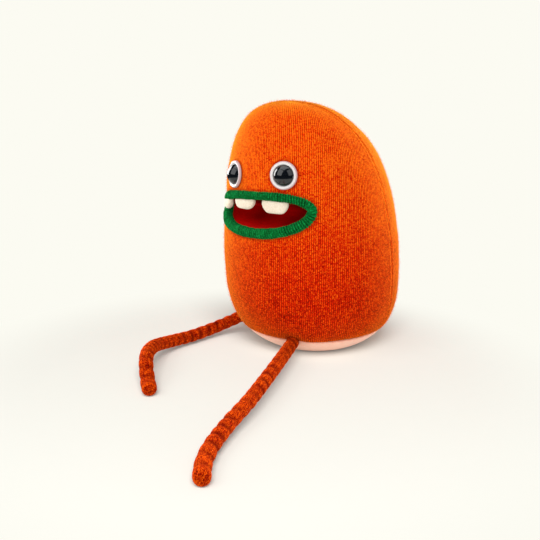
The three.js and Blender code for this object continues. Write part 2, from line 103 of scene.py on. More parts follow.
EYE_SPOTS = {
    "right": {"angle": -24.5, "lip_gap": 0.3},
    "left": {"angle": 21.3, "lip_gap": 1.4},
}
EYE_RADIUS = 9.8
EYE_DOME_HEIGHT = 6.4
EYE_RIM_RADIUS = 13.1
EYE_RIM_HEIGHT = 2.6
EYE_RIM_EDGE = 1.1
EYE_RIM_BROW = 2.1
EYE_RIM_FLOOR = 1.3
EYE_RIM_CREST = 1.5
EYE_SHANK_RADIUS = 2.5
EYE_SHANK_LENGTH = 9
EYE_SINK = 0.6
EYE_BRIM = 0.3
RIM_PRESS_REACH = 6
RIM_PRESS_DEPTH = 15
FIT_GAP = 0.3
LEG_RADIUS = 6
LEG_TIP_RADIUS = 6.6
HIP_PIVOT = 15
LIFT_PIVOT = 35
LEG_ROOT_DEPTH = 2.5
SIDE_SEAM_ANGLE = 98
WALE_MIDDLE_ANGLE = 42
WALE_SPREAD = 1.05
WALE_RADIUS = 80
BACK_PANEL_SHIFT = 500
SEAM_TUCK = 1.3

# Painted shade: how dark the skin is painted beside what is sewn on, where it would be shaded, and how far
# that reaches
SHADE_BESIDE = {"seam": (0.9, 1.6), "eye": (0.75, 1.8), "leg": (0.95, 3.2), "lip": (0.7, 1.6)}
LEGS = {
    "left": {
        "hip": (19.8, 19.4),
        "knee": 148,
        "fold_pitch": 14,
        "steps": [
            (2.4, -5.4, 18.8), (13.2, -28.8, 19), (23.8, -52.3, 19.4), (43.1, -99.4, 18),
            (56.3, -136, 15.5), (66.4, -172.2, 12), (80.1, -208.3, 9), (93, -229.2, 7.4),
            (101.5, -239, 7),
        ],
    },
    "right": {
        "hip": (-64, 21),
        "knee": 150,
        "fold_pitch": 10.5,
        "steps": [
            (-2.3, -5.4, 19.4), (-9.4, -19.6, 14.8), (-15.3, -37, 11), (-19.7, -67.6, 9),
            (-21.5, -91, 10.2), (-14.6, -119.4, 15.4), (-1.6, -140.8, 20.8), (13.7, -161, 23),
            (23.8, -171.5, 19), (31.3, -177.6, 12.4), (38.6, -183.2, 8.2), (44.2, -187.4, 7.1),
        ],
    },
}

# The photograph's camera, solved from the body's outline
CAMERA_AZIMUTH = 39.0
CAMERA_ELEVATION = 15.04
CAMERA_PLACE = (0.5050, -0.6991, 0.3046)
CAMERA_LENS = 56.67


# Body shape

def bezier(a, b, c, d, count=300):
    t = np.linspace(0, 1, count)[:, None]
    a, b, c, d = (np.array(p, float) for p in (a, b, c, d))
    return (1 - t) ** 3 * a + 3 * t * (1 - t) ** 2 * b + 3 * t * t * (1 - t) * c + t ** 3 * d


def body_profile():
    """Radius, height, arc length and outward direction along the body's outline."""
    belly = bezier(
        (BASE_FLAT_RADIUS, 0), (BASE_BULGE_RADIUS, BASE_BULGE_HEIGHT),
        (WIDEST_RADIUS, BELLY_HANDLE_HEIGHT), (WIDEST_RADIUS, WIDEST_HEIGHT))
    crown = bezier(
        (WIDEST_RADIUS, WIDEST_HEIGHT), (WIDEST_RADIUS, SHOULDER_HEIGHT),
        (CROWN_BREADTH, BODY_HEIGHT), (0, BODY_HEIGHT))
    points = np.concatenate([belly, crown[1:]])
    along = np.gradient(points, axis=0)
    along /= np.linalg.norm(along, axis=1)[:, None]
    arc = np.concatenate([[0], np.cumsum(np.linalg.norm(np.diff(points, axis=0), axis=1))])
    return points[:, 0], points[:, 1], arc, along[:, 1], -along[:, 0]


PROFILE_R, PROFILE_Z, PROFILE_S, PROFILE_NR, PROFILE_NZ = body_profile()


def centre_at(height):
    share = np.maximum(0, height) / BODY_HEIGHT
    return -BODY_LEAN * share - CROWN_NOD * share ** 6


def outline_at(height):
    return np.interp(height, PROFILE_Z, PROFILE_R)


def arc_at(height):
    return np.interp(height, PROFILE_Z, PROFILE_S)


def skin_points(arc, angle, offset=0.0):
    """Points on the body by arc length up its outline and angle round from straight ahead."""
    radius = np.interp(arc, PROFILE_S, PROFILE_R)
    height = np.interp(arc, PROFILE_S, PROFILE_Z)
    out = radius + np.interp(arc, PROFILE_S, PROFILE_NR) * offset
    up = height + np.interp(arc, PROFILE_S, PROFILE_NZ) * offset
    return np.stack([out * np.sin(angle), centre_at(height) - out * np.cos(angle), up], axis=-1)


def on_body(angle, height, offset=0.0):
    radius = outline_at(height) + offset
    return np.stack([radius * np.sin(angle), centre_at(height) - radius * np.cos(angle),
                     np.broadcast_to(height, np.shape(radius * np.sin(angle)))], axis=-1)


def unit(v):
    v = np.asarray(v, float)
    return v / np.linalg.norm(v, axis=-1, keepdims=True)


def body_normal(angle, height):
    around = on_body(angle + 0.01, height) - on_body(angle - 0.01, height)
    upward = on_body(angle, height + 1.0) - on_body(angle, height - 1.0)
    return unit(np.cross(around, upward))


def mouth_half_angle(side):
    """How far the mouth reaches round the side that a signed value is on."""
    return np.radians(np.where(np.asarray(side) > 0, MOUTH_LEFT_ANGLE, MOUTH_RIGHT_ANGLE))


def mouth_point(turn, grow=0.0, offset=0.0):
    across, upward = np.cos(turn), np.sin(turn)
    power = np.where(upward > 0, UPPER_LIP_FLATNESS, 1)
    reach = np.where(upward > 0, UPPER_LIP_RISE + grow, LOWER_LIP_DROP + grow)
    half = mouth_half_angle(across) + grow / outline_at(MOUTH_MIDDLE_HEIGHT)
    angle = np.sign(across) * np.abs(across) ** power * half
    return on_body(angle, MOUTH_MIDDLE_HEIGHT + FACE_TILT * angle + reach * upward, offset)


def lip_radius(turn):
    """The roll is thinner above the mouth, where the felt teeth hang from it."""
    return LIP_RADIUS * (1 - (1 - UPPER_LIP_SHARE) * np.maximum(np.sin(turn), 0) ** 0.5)


def lip_middle(turn):
    """The lip's middle line, drawn in a little further at the corner behind the right tooth."""
    corner = np.exp(-((np.asarray(turn) - math.pi) / LIP_CORNER_SPREAD) ** 2)
    place = mouth_point(turn, 0, -LIP_SINK - LIP_CORNER_SINK * corner)
    return place - (LIP_RADIUS - lip_radius(turn))[..., None] * np.array((0, 0, 1))


def upper_lip_at(angle):
    """Height of the middle line of the upper lip at an angle round the body."""
    share = np.minimum(1, np.abs(angle) / mouth_half_angle(angle))
    rise = np.sqrt(1 - share ** (2 / UPPER_LIP_FLATNESS))
    return MOUTH_MIDDLE_HEIGHT + FACE_TILT * angle + UPPER_LIP_RISE * rise


def in_mouth(angle, height):
    """True where the mouth's opening is, by angle and height on the body."""
    share = np.minimum(1, np.abs(angle) / mouth_half_angle(angle))
    level = height - MOUTH_MIDDLE_HEIGHT - FACE_TILT * angle
    above = UPPER_LIP_RISE * np.sqrt(1 - share ** (2 / UPPER_LIP_FLATNESS))
    below = LOWER_LIP_DROP * np.sqrt(1 - share ** 2)
    return (level < above) & (level > -below) & (share < 1)


# Mesh helpers

def around(count):
    """Evenly spaced angles of one full turn, from zero."""
    return np.arange(count) / count * 2 * math.pi


def rings_about(place, radius, turn, first, second):
    """A ring of points about each place, in the plane of its two directions."""
    return (place[..., None, :]
            + radius * np.cos(turn)[None, :, None] * first
            + radius * np.sin(turn)[None, :, None] * second)


def link_object(name, data):
    """A new object in the scene."""
    obj = bpy.data.objects.new(name, data)
    bpy.context.collection.objects.link(obj)
    return obj


def new_object(name, vertices, faces, uv=None, smooth=True):
    """An object from points in millimetres. uv has one pair for each corner of each face."""
    mesh = bpy.data.meshes.new(name)
    mesh.from_pydata((np.asarray(vertices, float).reshape(-1, 3) * MM).tolist(), [], faces)
    if uv is not None:
        layer = mesh.uv_layers.new(name="knit")
        layer.data.foreach_set("uv", np.asarray(uv, np.float32).ravel())
    mesh.update()
    mesh.polygons.foreach_set("use_smooth", [smooth] * len(mesh.polygons))
    return link_object(name, mesh)


def grid_faces(rows, columns, loop_rows=False, loop_columns=True, keep=None):
    """Quads over a grid of points, row by row, and the grid place of each face's corners."""
    faces, corners = [], []
    for row in range(rows if loop_rows else rows - 1):
        for column in range(columns if loop_columns else columns - 1):
            if keep is not None and not keep[row, column]:
                continue
            spots = [(row, column), (row, column + 1), (row + 1, column + 1), (row + 1, column)]
            faces.append([(r % rows) * columns + c % columns for r, c in spots])
            corners.extend(spots)
    return faces, np.array(corners)


def apply_modifiers(obj):
    """Bakes an object's modifiers into its mesh."""
    bpy.context.view_layer.update()
    graph = bpy.context.evaluated_depsgraph_get()
    mesh = bpy.data.meshes.new_from_object(obj.evaluated_get(graph))
    obj.modifiers.clear()
    old, obj.data = obj.data, mesh
    bpy.data.meshes.remove(old)
    return obj


def solidify(obj, thickness, offset=-1.0):
    """Gives a skin its thickness in millimetres, inward unless the offset says otherwise."""
    modifier = obj.modifiers.new("skin", "SOLIDIFY")
    modifier.thickness = thickness * MM
    modifier.offset = offset
    modifier.use_rim = True
    return apply_modifiers(obj)


def bumps(points, size, strength, seed=0.0):
    """Smooth noise on points, in millimetres."""
    points = np.asarray(points, float).reshape(-1, 3) / size + seed
    return strength * np.array([noise.noise(Vector(p)) for p in points])


# Material helpers

class Nodes:
    """Adds nodes to a tree in short lines. Inputs are values or other nodes' outputs."""

    def __init__(self, tree):
        self.tree = tree

    def fill(self, node, inputs):
        """Links or sets a node's inputs."""
        for key, value in inputs.items():
            socket = node.inputs[key]
            if isinstance(value, bpy.types.NodeSocket):
                self.link(value, socket)
            else:
                socket.default_value = value
        return node

    def add(self, kind, inputs=None, **settings):
        node = self.tree.nodes.new(kind)
        for name, value in settings.items():
            setattr(node, name, value)
        return self.fill(node, inputs or {})

    def use(self, group_tree, inputs):
        """The outputs of a shared shader group."""
        return self.add("ShaderNodeGroup", inputs, node_tree=group_tree).outputs

    def math(self, operation, a, b=0.0, clamp=False):
        node = self.add("ShaderNodeMath", {0: a, 1: b}, operation=operation)
        node.use_clamp = clamp
        return node.outputs[0]

    def weighted(self, terms, level):
        """A level that each (value, middle, weight) raises or lowers about its middle."""
        for value, middle, weight in terms:
            term = self.math("MULTIPLY", self.math("SUBTRACT", value, middle), weight)
            level = self.math("ADD", term, level)
        return level

    def ramp(self, value, stops):
        node = self.add("ShaderNodeValToRGB", {"Fac": value})
        elements = node.color_ramp.elements
        while len(elements) < len(stops):
            elements.new(0.5)
        for element, (place, shade) in zip(elements, stops):
            element.position = place
            element.color = (*shade, 1) if len(shade) == 3 else shade
        return node.outputs["Color"]

    def noise(self, vector, scale, detail=3.0, roughness=0.6):
        return self.add("ShaderNodeTexNoise", {
            "Vector": vector, "Scale": scale, "Detail": detail, "Roughness": roughness}).outputs["Fac"]

    def mix(self, factor, a, b):
        node = self.add("ShaderNodeMix", data_type="RGBA")
        a, b = ((*shade, 1) if isinstance(shade, tuple) else shade for shade in (a, b))
        return self.fill(node, {0: factor, 6: a, 7: b}).outputs[2]

    def link(self, a, b):
        self.tree.links.new(a, b)

    def place(self):
        """A place on the piece, in metres."""
        return self.add("ShaderNodeTexCoord").outputs["Object"]

    def mask(self):
        """The painted shade stored on a piece's points by store_mask."""
        return self.add("ShaderNodeAttribute", attribute_name="painted_shade").outputs["Fac"]

    def relief(self, shader, height, depth, strength=1.0):
        """Bump on a shader, with its depth in millimetres."""
        bump = self.add("ShaderNodeBump", {"Strength": strength, "Distance": depth * MM, "Height": height})
        self.link(bump.outputs[0], shader.inputs["Normal"])


def group(name, inputs, outputs):
    """An empty shader group with the sockets given as (name, kind, default)."""
    tree = bpy.data.node_groups.new(name, "ShaderNodeTree")
    for label, kind, default in inputs:
        socket = tree.interface.new_socket(label, in_out="INPUT", socket_type=kind)
        if default is not None:
            socket.default_value = default
    for label, kind in outputs:
        tree.interface.new_socket(label, in_out="OUTPUT", socket_type=kind)
    n = Nodes(tree)
    return tree, n, n.add("NodeGroupInput").outputs, n.add("NodeGroupOutput").inputs


def stitch_group():
    """Stockinette from a place on the cloth in millimetres: the height of each V's two arms, the
    groove between wales, the hole beside each stitch and a random value for each stitch."""
    tree, n, given, made = group("knit_stitches", [
        ("Cloth", "NodeSocketVector", None), ("Wale", "NodeSocketFloat", 2.0),
        ("Course", "NodeSocketFloat", 1.5), ("Wander", "NodeSocketFloat", 0.25)],
        [("Height", "NodeSocketFloat"), ("Groove", "NodeSocketFloat"), ("Hole", "NodeSocketFloat"),
         ("Yarn", "NodeSocketFloat")])
    place = n.add("ShaderNodeSeparateXYZ", {0: given["Cloth"]}).outputs
    drift = n.noise(given["Cloth"], 0.12, 2.0)
    drift = n.math("MULTIPLY", n.math("SUBTRACT", drift, 0.5), given["Wander"])
    wale = n.math("ADD", n.math("DIVIDE", place[0], given["Wale"]), drift)
    side = n.math("ABSOLUTE", n.math("SUBTRACT", n.math("FRACT", wale), 0.5))
    row = n.math("DIVIDE", place[1], given["Course"])
    course = n.math("ADD", row, n.math("MULTIPLY", side, 1.3))
    loop = n.math("PINGPONG", course, 0.5)
    across = n.math("DIVIDE", n.math("SUBTRACT", side, 0.22), 0.24)
    round_across = n.math("SUBTRACT", 1.0, n.math("MULTIPLY", across, across), clamp=True)
    height = n.math("MULTIPLY", round_across, n.math("ADD", n.math("MULTIPLY", loop, 1.2), 0.4))
    groove = n.math("MULTIPLY", n.math("SUBTRACT", side, 0.32), 6.5, clamp=True)
    between = n.math("SUBTRACT", 1.0, n.math("MULTIPLY", n.math("PINGPONG", row, 0.5), 3.2), clamp=True)
    stitch = n.add("ShaderNodeCombineXYZ", {0: n.math("FLOOR", wale), 1: n.math("FLOOR", course)})
    yarn = n.add("ShaderNodeTexWhiteNoise", {"Vector": stitch.outputs[0]}, noise_dimensions="2D")
    n.link(height, made["Height"])
    n.link(groove, made["Groove"])
    n.link(n.math("MULTIPLY", groove, between), made["Hole"])
    n.link(yarn.outputs["Value"], made["Yarn"])
    return tree


def fibre_group():
    """Matted fibres: a height and a speckle, from a place in the object."""
    tree, n, given, made = group("matted_fibres", [
        ("Place", "NodeSocketVector", None), ("Scale", "NodeSocketFloat", 900.0)],
        [("Height", "NodeSocketFloat"), ("Speckle", "NodeSocketFloat")])
    bend = n.add("ShaderNodeTexNoise", {"Vector": given["Place"], "Scale": 260.0, "Detail": 2.0})
    shift = n.add("ShaderNodeVectorMath", {0: bend.outputs["Color"], 3: 0.0012}, operation="SCALE")
    warped = n.add("ShaderNodeVectorMath", {0: given["Place"], 1: shift.outputs[0]}, operation="ADD")
    fine = n.noise(warped.outputs[0], given["Scale"], 3.0, 0.65)
    strands = n.add("ShaderNodeTexNoise", {
        "Vector": warped.outputs[0], "Scale": given["Scale"], "Detail": 3.0, "Roughness": 0.55,
        "Distortion": 1.5}).outputs["Fac"]
    n.link(n.math("MULTIPLY", fine, strands), made["Height"])
    n.link(fine, made["Speckle"])
    return tree


STITCHES = stitch_group()
FIBRES = fibre_group()


def new_material(name, roughness, **constants):
    material = bpy.data.materials.new(name)
    material.use_nodes = True
    n = Nodes(material.node_tree)
    shader = material.node_tree.nodes["Principled BSDF"]
    shader.inputs["Roughness"].default_value = roughness
    for key, value in constants.items():
        shader.inputs[key.replace("_", " ")].default_value = value
    return material, n, shader


def knit_material(name, deep, mid, light, painted_crease_shade, edge, wale=2.0, course=1.5, groove=0.78, hole=0.3,
                  speckle=1.9, sheen=0.12, relief=0.4, low_shade=0.0):
    """Felted knit: wales of stitches under a matted, speckled surface, with painted shade in the
    grooves between wales and the holes beside stitches. A painted rim highlight lightens the colour
    where the cloth turns away, standing in for fibres that catch the light. Painted shade in creases
    holds it back, and so does painted shade on the low part of the body by low_shade."""
    material, n, shader = new_material(
        name, 1.0, Sheen_Weight=sheen, Sheen_Roughness=0.4, Sheen_Tint=(*light, 1),
        Specular_IOR_Level=0.02)
    cloth = n.add("ShaderNodeUVMap", uv_map="knit").outputs[0]
    place = n.place()
    stitches = n.use(STITCHES, {"Cloth": cloth, "Wale": wale, "Course": course, "Wander": 0.35})
    fibres = n.use(FIBRES, {"Place": place})
    # Painted shade: the grooves between wales and the holes beside stitches are darkened in the colour.
    terms = [
        (fibres["Speckle"], 0.5, speckle), (n.noise(place, 55.0, 3.0), 0.5, 0.3),
        (stitches["Yarn"], 0.5, 0.4), (stitches["Groove"], 0.25, -groove), (stitches["Hole"], 0.08, -hole)]
    # Painted shade: the low part of the body is darkened by low_shade, where less light reaches it.
    height = n.add("ShaderNodeSeparateXYZ", {0: place}).outputs[2]
    low = n.add("ShaderNodeMapRange", {
        "Value": height, "From Min": 0.21, "From Max": 0.03}, interpolation_type="SMOOTHSTEP").outputs[0]
    terms.append((low, 0.0, -low_shade))
    level = n.weighted(terms, 0.5)
    colour = n.ramp(level, [(0.0, deep), (0.42, mid), (1.0, light)])
    # Painted shade in creases and beside sewn parts, read from the points' mask.
    painted_shade = n.mask()
    patchy = n.math("ADD", n.math("MULTIPLY", fibres["Speckle"], 0.8), 0.4)
    colour = n.mix(n.math("MULTIPLY", painted_shade, patchy, clamp=True), colour, painted_crease_shade)
    # Painted rim highlight: the colour is lightened towards the edge colour where the cloth turns away.
    turned_away = n.add("ShaderNodeLayerWeight", {"Blend": 0.35}).outputs["Facing"]
    turned_away = n.math("POWER", turned_away, 2.0)
    lit = n.math("SUBTRACT", 1.0, n.math("MAXIMUM", painted_shade, n.math("MULTIPLY", low, low_shade)))
    raised = n.math("ADD", n.math("MULTIPLY", level, 0.7), 0.65, clamp=True)
    colour = n.mix(n.math("MULTIPLY", n.math("MULTIPLY", turned_away, lit), raised), colour, edge)
    n.link(colour, shader.inputs["Base Color"])
    relief_level = n.math("ADD", stitches["Height"], n.math("MULTIPLY", fibres["Height"], 0.9))
    n.relief(shader, relief_level, relief)
    return material


def felt_material(name, deep, light, relief=0.3, sheen=0.3, scale=900.0, shaded=None):
    material, n, shader = new_material(
        name, 1.0, Sheen_Weight=sheen, Sheen_Roughness=0.5, Sheen_Tint=(*light, 1),
        Specular_IOR_Level=0.03)
    place = n.place()
    fibres = n.use(FIBRES, {"Place": place, "Scale": scale})
    patches = n.noise(place, 120.0, 3.0)
    level = n.math("ADD", n.math("MULTIPLY", fibres["Speckle"], 0.75), n.math("MULTIPLY", patches, 0.25))
    colour = n.ramp(level, [(0.3, deep), (0.68, light)])
    if shaded:
        # Painted shade from the points' mask, mixed towards the shaded colour.
        painted_shade = n.mask()
        colour = n.mix(painted_shade, colour, shaded)
    n.link(colour, shader.inputs["Base Color"])
    n.relief(shader, fibres["Height"], relief, 0.8)
    return material


def rib_material():
    """Ribbed knit round the lip: fine yarn lines along each rib, with painted shade between ribs."""
    material, n, shader = new_material(
        "lip_ribbed_knit", 0.95, Sheen_Weight=0.2, Sheen_Roughness=0.45, Sheen_Tint=(0.02, 0.5, 0.14, 1),
        Specular_IOR_Level=0.05)
    cloth = n.add("ShaderNodeUVMap", uv_map="knit").outputs[0]
    place = n.place()
    painted_shade = n.mask()
    fibres = n.use(FIBRES, {"Place": place})
    lines = n.add("ShaderNodeTexWave", {
        "Vector": cloth, "Scale": 0.45, "Distortion": 1.2, "Detail": 2.0}, bands_direction="Y").outputs["Fac"]
    patches = n.math("MULTIPLY", n.math("SUBTRACT", n.noise(place, 300.0, 3.0), 0.5), 1.0)
    speckle = n.math("MULTIPLY", n.math("SUBTRACT", fibres["Speckle"], 0.5), 1.8)
    level = n.math("ADD", n.math("ADD", speckle, 0.4), n.math("MULTIPLY", lines, 0.2))
    level = n.math("ADD", level, patches)
    colour = n.ramp(level, [
        (0.2, (0.001, 0.06, 0.011)), (0.5, (0.002, 0.155, 0.027)), (0.8, (0.006, 0.33, 0.07))])
    # Painted shade in the grooves between the ribs, from the points' mask.
    colour = n.mix(painted_shade, colour, (0.0002, 0.018, 0.003))
    n.link(colour, shader.inputs["Base Color"])
    height = n.math("ADD", fibres["Height"], n.math("MULTIPLY", lines, 0.4))
    n.relief(shader, height, 0.25, 0.8)
    return material


def plastic_material(name, colour, roughness, coat=0.0, scratch=0.03, slope=None):
    """Moulded plastic with faint handling marks in its gloss, and painted pinkish shade on its outer slope.
    """
    material, n, shader = new_material(name, roughness, Coat_Weight=coat, Coat_Roughness=0.03)
    place = n.place()
    marks = n.noise(place, 420.0, 4.0)
    soft = n.noise(place, 90.0, 2.0)
    gloss = n.math("ADD", roughness - scratch / 2, n.math("MULTIPLY", marks, scratch))
    n.link(gloss, shader.inputs["Roughness"])
    shade = n.mix(n.math("MULTIPLY", soft, 0.25), colour, tuple(c * 0.92 for c in colour))
    if slope:
        # Painted pinkish shade on the outer slope, from the points' mask.
        outer = n.mask()
        shade = n.mix(outer, shade, slope)
    n.link(shade, shader.inputs["Base Color"])
    n.relief(shader, soft, 0.02, 0.15)
    return material


def wire_material():
    material, n, shader = new_material("annealed_wire", 0.38, Metallic=1.0)
    place = n.place()
    draw = n.noise(place, 700.0, 3.0)
    n.link(n.ramp(draw, [(0.3, (0.26, 0.26, 0.26)), (0.7, (0.45, 0.45, 0.44))]), shader.inputs["Base Color"])
    n.link(n.math("MULTIPLY_ADD", draw, 0.25), shader.inputs["Roughness"])
    return material


# Colours are linear
# The knits' crease colours are painted shade and their edge colours a painted rim highlight; the mouth felt's
# shaded colour and the rim plastic's slope colour are painted shade.
BODY_KNIT = knit_material(
    "body_felted_knit", (0.25, 0.002, 0.0003), (0.83, 0.017, 0.0006), (1.0, 0.19, 0.006),
    painted_crease_shade=(0.26, 0.004, 0.0006), edge=(1.0, 0.46, 0.025), sheen=0.06, low_shade=0.4)
LEG_KNIT = knit_material(
    "leg_felted_knit", (0.06, 0.001, 0.0002), (0.38, 0.008, 0.0005), (0.98, 0.12, 0.003),
    painted_crease_shade=(0.13, 0.0015, 0.0003), edge=(0.78, 0.09, 0.005), wale=2.4, course=2.4, groove=0.0,
    hole=0.7, speckle=2.4, sheen=0.05, relief=0.45)
PINK_KNIT = knit_material(
    "base_pink_knit", (1.0, 0.43, 0.31), (1.0, 0.59, 0.45), (1.0, 0.68, 0.56),
    painted_crease_shade=(0.95, 0.38, 0.25), edge=(1.0, 0.66, 0.54), groove=0.12, hole=0.1, speckle=0.35,
    sheen=0.2, relief=0.25)
LIP_KNIT = rib_material()
MOUTH_FELT = felt_material(
    "mouth_red_felt", (0.38, 0.001, 0.0004), (0.74, 0.002, 0.001), sheen=0.05, shaded=(0.115, 0.0005, 0.0005))
TOOTH_FELT = felt_material("tooth_cream_felt", (0.74, 0.61, 0.46), (0.95, 0.85, 0.71), relief=0.5)
STUFFING = felt_material("stuffing_fibre", (0.62, 0.60, 0.56), (0.88, 0.87, 0.84), relief=1.0, scale=300.0)
BAG_CLOTH = felt_material("pellet_bag_cloth", (0.5, 0.46, 0.38), (0.68, 0.63, 0.54))
EYE_BLACK = plastic_material("eye_black_plastic", (0.0035, 0.0045, 0.0065), 0.04, coat=0.3)
RIM_WHITE = plastic_material("rim_white_plastic", (0.86, 0.83, 0.82), 0.28, slope=(0.54, 0.40, 0.40))
WASHER_WHITE = plastic_material("washer_plastic", (0.8, 0.8, 0.77), 0.45)
WIRE = wire_material()
ORANGE_FUZZ = felt_material("orange_fuzz", (0.86, 0.06, 0.003), (1.0, 0.25, 0.025), sheen=0.2)
LEG_FUZZ = felt_material("leg_fuzz", (0.5, 0.03, 0.001), (0.85, 0.16, 0.012), sheen=0.1)
CREAM_FUZZ = felt_material("cream_fuzz", (0.88, 0.80, 0.66), (0.99, 0.95, 0.86), sheen=0.5)
GREEN_FUZZ = felt_material("green_fuzz", (0.004, 0.17, 0.03), (0.02, 0.32, 0.08), sheen=0.4)


# Fuzz

def hair_object():
    """One bent, tapered fibre, a millimetre long and standing on the origin."""
    sides = 3
    rings = [(0.0, 0.0, 0.026), (0.16, 0.55, 0.020)]
    vertices = []
    for lean, height, radius in rings:
        for side in range(sides):
            turn = 2 * math.pi * side / sides
            vertices.append((lean + radius * math.cos(turn), radius * math.sin(turn), height))
    vertices.append((0.5, 0.0, 1.0))
    faces = [list(reversed(range(sides)))]
    for side in range(sides):
        beside = (side + 1) % sides
        faces.append([side, beside, sides + beside, sides + side])
        faces.append([sides + side, sides + beside, 2 * sides])
    hair = new_object("fuzz_fibre", vertices, faces)
    hair.hide_render = True
    return hair


def fuzz_group():
    """Geometry nodes that scatter bent fibres over a surface."""
    tree = bpy.data.node_groups.new("scatter_fuzz", "GeometryNodeTree")
    face = tree.interface
    face.new_socket("Surface", in_out="INPUT", socket_type="NodeSocketGeometry")
    for label, kind in (("Fibre", "Object"), ("Finish", "Material"), ("Per square metre", "Float"),
                        ("Length", "Float"), ("Tilt", "Float"), ("Seed", "Int")):
        face.new_socket(label, in_out="INPUT", socket_type="NodeSocket" + kind)
    face.new_socket("Fuzz", in_out="OUTPUT", socket_type="NodeSocketGeometry")
    n = Nodes(tree)
    given = n.add("NodeGroupInput").outputs
    points = n.add("GeometryNodeDistributePointsOnFaces", {
        "Mesh": given["Surface"], "Density": given["Per square metre"], "Seed": given["Seed"]})
    turn = n.add("FunctionNodeRandomValue", {"Seed": given["Seed"]}, data_type="FLOAT_VECTOR")
    low = n.add("ShaderNodeCombineXYZ", {0: n.math("MULTIPLY", given["Tilt"], -1.0),
                                         1: n.math("MULTIPLY", given["Tilt"], -1.0), 2: -math.pi})
    high = n.add("ShaderNodeCombineXYZ", {0: given["Tilt"], 1: given["Tilt"], 2: math.pi})
    n.link(low.outputs[0], turn.inputs[0])
    n.link(high.outputs[0], turn.inputs[1])
    leaning = n.add("FunctionNodeRotateRotation", {
        "Rotation": points.outputs["Rotation"], "Rotate By": turn.outputs[0]}, rotation_space="LOCAL")
    size = n.add("FunctionNodeRandomValue", {"Seed": given["Seed"]}, data_type="FLOAT")
    n.link(n.math("MULTIPLY", given["Length"], 0.45), size.inputs[2])
    n.link(given["Length"], size.inputs[3])
    fibre = n.add("GeometryNodeObjectInfo", {"Object": given["Fibre"]})
    placed = n.add("GeometryNodeInstanceOnPoints", {
        "Points": points.outputs["Points"], "Instance": fibre.outputs["Geometry"],
        "Rotation": leaning.outputs[0], "Scale": size.outputs[1]})
    real = n.add("GeometryNodeRealizeInstances", {"Geometry": placed.outputs[0]})
    dressed = n.add("GeometryNodeSetMaterial", {"Geometry": real.outputs[0], "Material": given["Finish"]})
    made = n.add("NodeGroupOutput").inputs
    n.link(dressed.outputs[0], made["Fuzz"])
    return tree


FUZZ_TILT = 1.2
HAIR = hair_object()
FUZZ = fuzz_group()


def fuzz_on(surface, name, finish, density, length, seed):
    """A new object of fibres standing on a surface object, with so many to a square centimetre."""
    obj = link_object(name, surface.data.copy())
    modifier = obj.modifiers.new("fuzz", "NODES")
    modifier.node_group = FUZZ
    values = {"Fibre": HAIR, "Finish": finish, "Per square metre": density * 1e4,
              "Length": length, "Tilt": FUZZ_TILT, "Seed": seed}
    for socket in FUZZ.interface.items_tree:
        if socket.in_out == "INPUT" and socket.name in values:
            modifier[socket.identifier] = values[socket.name]
    apply_modifiers(obj)
    if not obj.data.materials:
        obj.data.materials.append(finish)
    return obj


# Body

def eye_place(spot):
    """The middle of an eye's rim on the skin and its outward direction, just above the lip."""
    angle = math.radians(spot["angle"])
    height = upper_lip_at(angle) + LIP_RADIUS + spot["lip_gap"] + EYE_RIM_RADIUS
    out = body_normal(angle, height)
    return on_body(angle, height) - EYE_SINK * out, out


EYES = {name: eye_place(spot) for name, spot in EYE_SPOTS.items()}


def smoothstep(low, high, value):
    t = np.clip((value - low) / (high - low), 0, 1)
    return t * t * (3 - 2 * t)


def press_skin(points):
    """Draws the skin flat under each eye's rim, as the washer behind pulls it, and in round the
    lip's tucked corner."""
    corner = mouth_point(math.pi)
    inward = unit(lip_middle(math.pi) - corner)
    tucked = np.exp(-(np.linalg.norm(points - corner, axis=-1) / CORNER_TUCK_REACH) ** 2)
    points = points + CORNER_TUCK_DEPTH * tucked[..., None] * inward
    for place, out in EYES.values():
        away = points - place
        height = away @ out
        distance = np.linalg.norm(away - height[..., None] * out, axis=-1)
        near = 1 - smoothstep(EYE_RIM_RADIUS - 1, EYE_RIM_RADIUS + RIM_PRESS_REACH, distance)
        near = near * (np.abs(height) < RIM_PRESS_DEPTH)
        drop = np.maximum(height + 0.1, 0) * near
        points = points - drop[..., None] * out
    return points


def body_rows(low, high, spacing):
    """Arc lengths for the rows of a body skin."""
    count = int(round((high - low) / spacing)) + 1
    return np.linspace(low, high, count)


def wale_place(angle, arc, middle):
    """Distance across the wales. They stand upright near the middle of a panel, and further round
    they draw closer together towards the crown."""
    radius = np.interp(arc, PROFILE_S, PROFILE_R)
    lean = centre_at(np.interp(arc, PROFILE_S, PROFILE_Z))
    turn = angle - middle
    upright = WALE_SPREAD * np.tanh(turn / WALE_SPREAD)
    return radius * upright + WALE_RADIUS * (turn - upright) + lean * math.sin(middle)


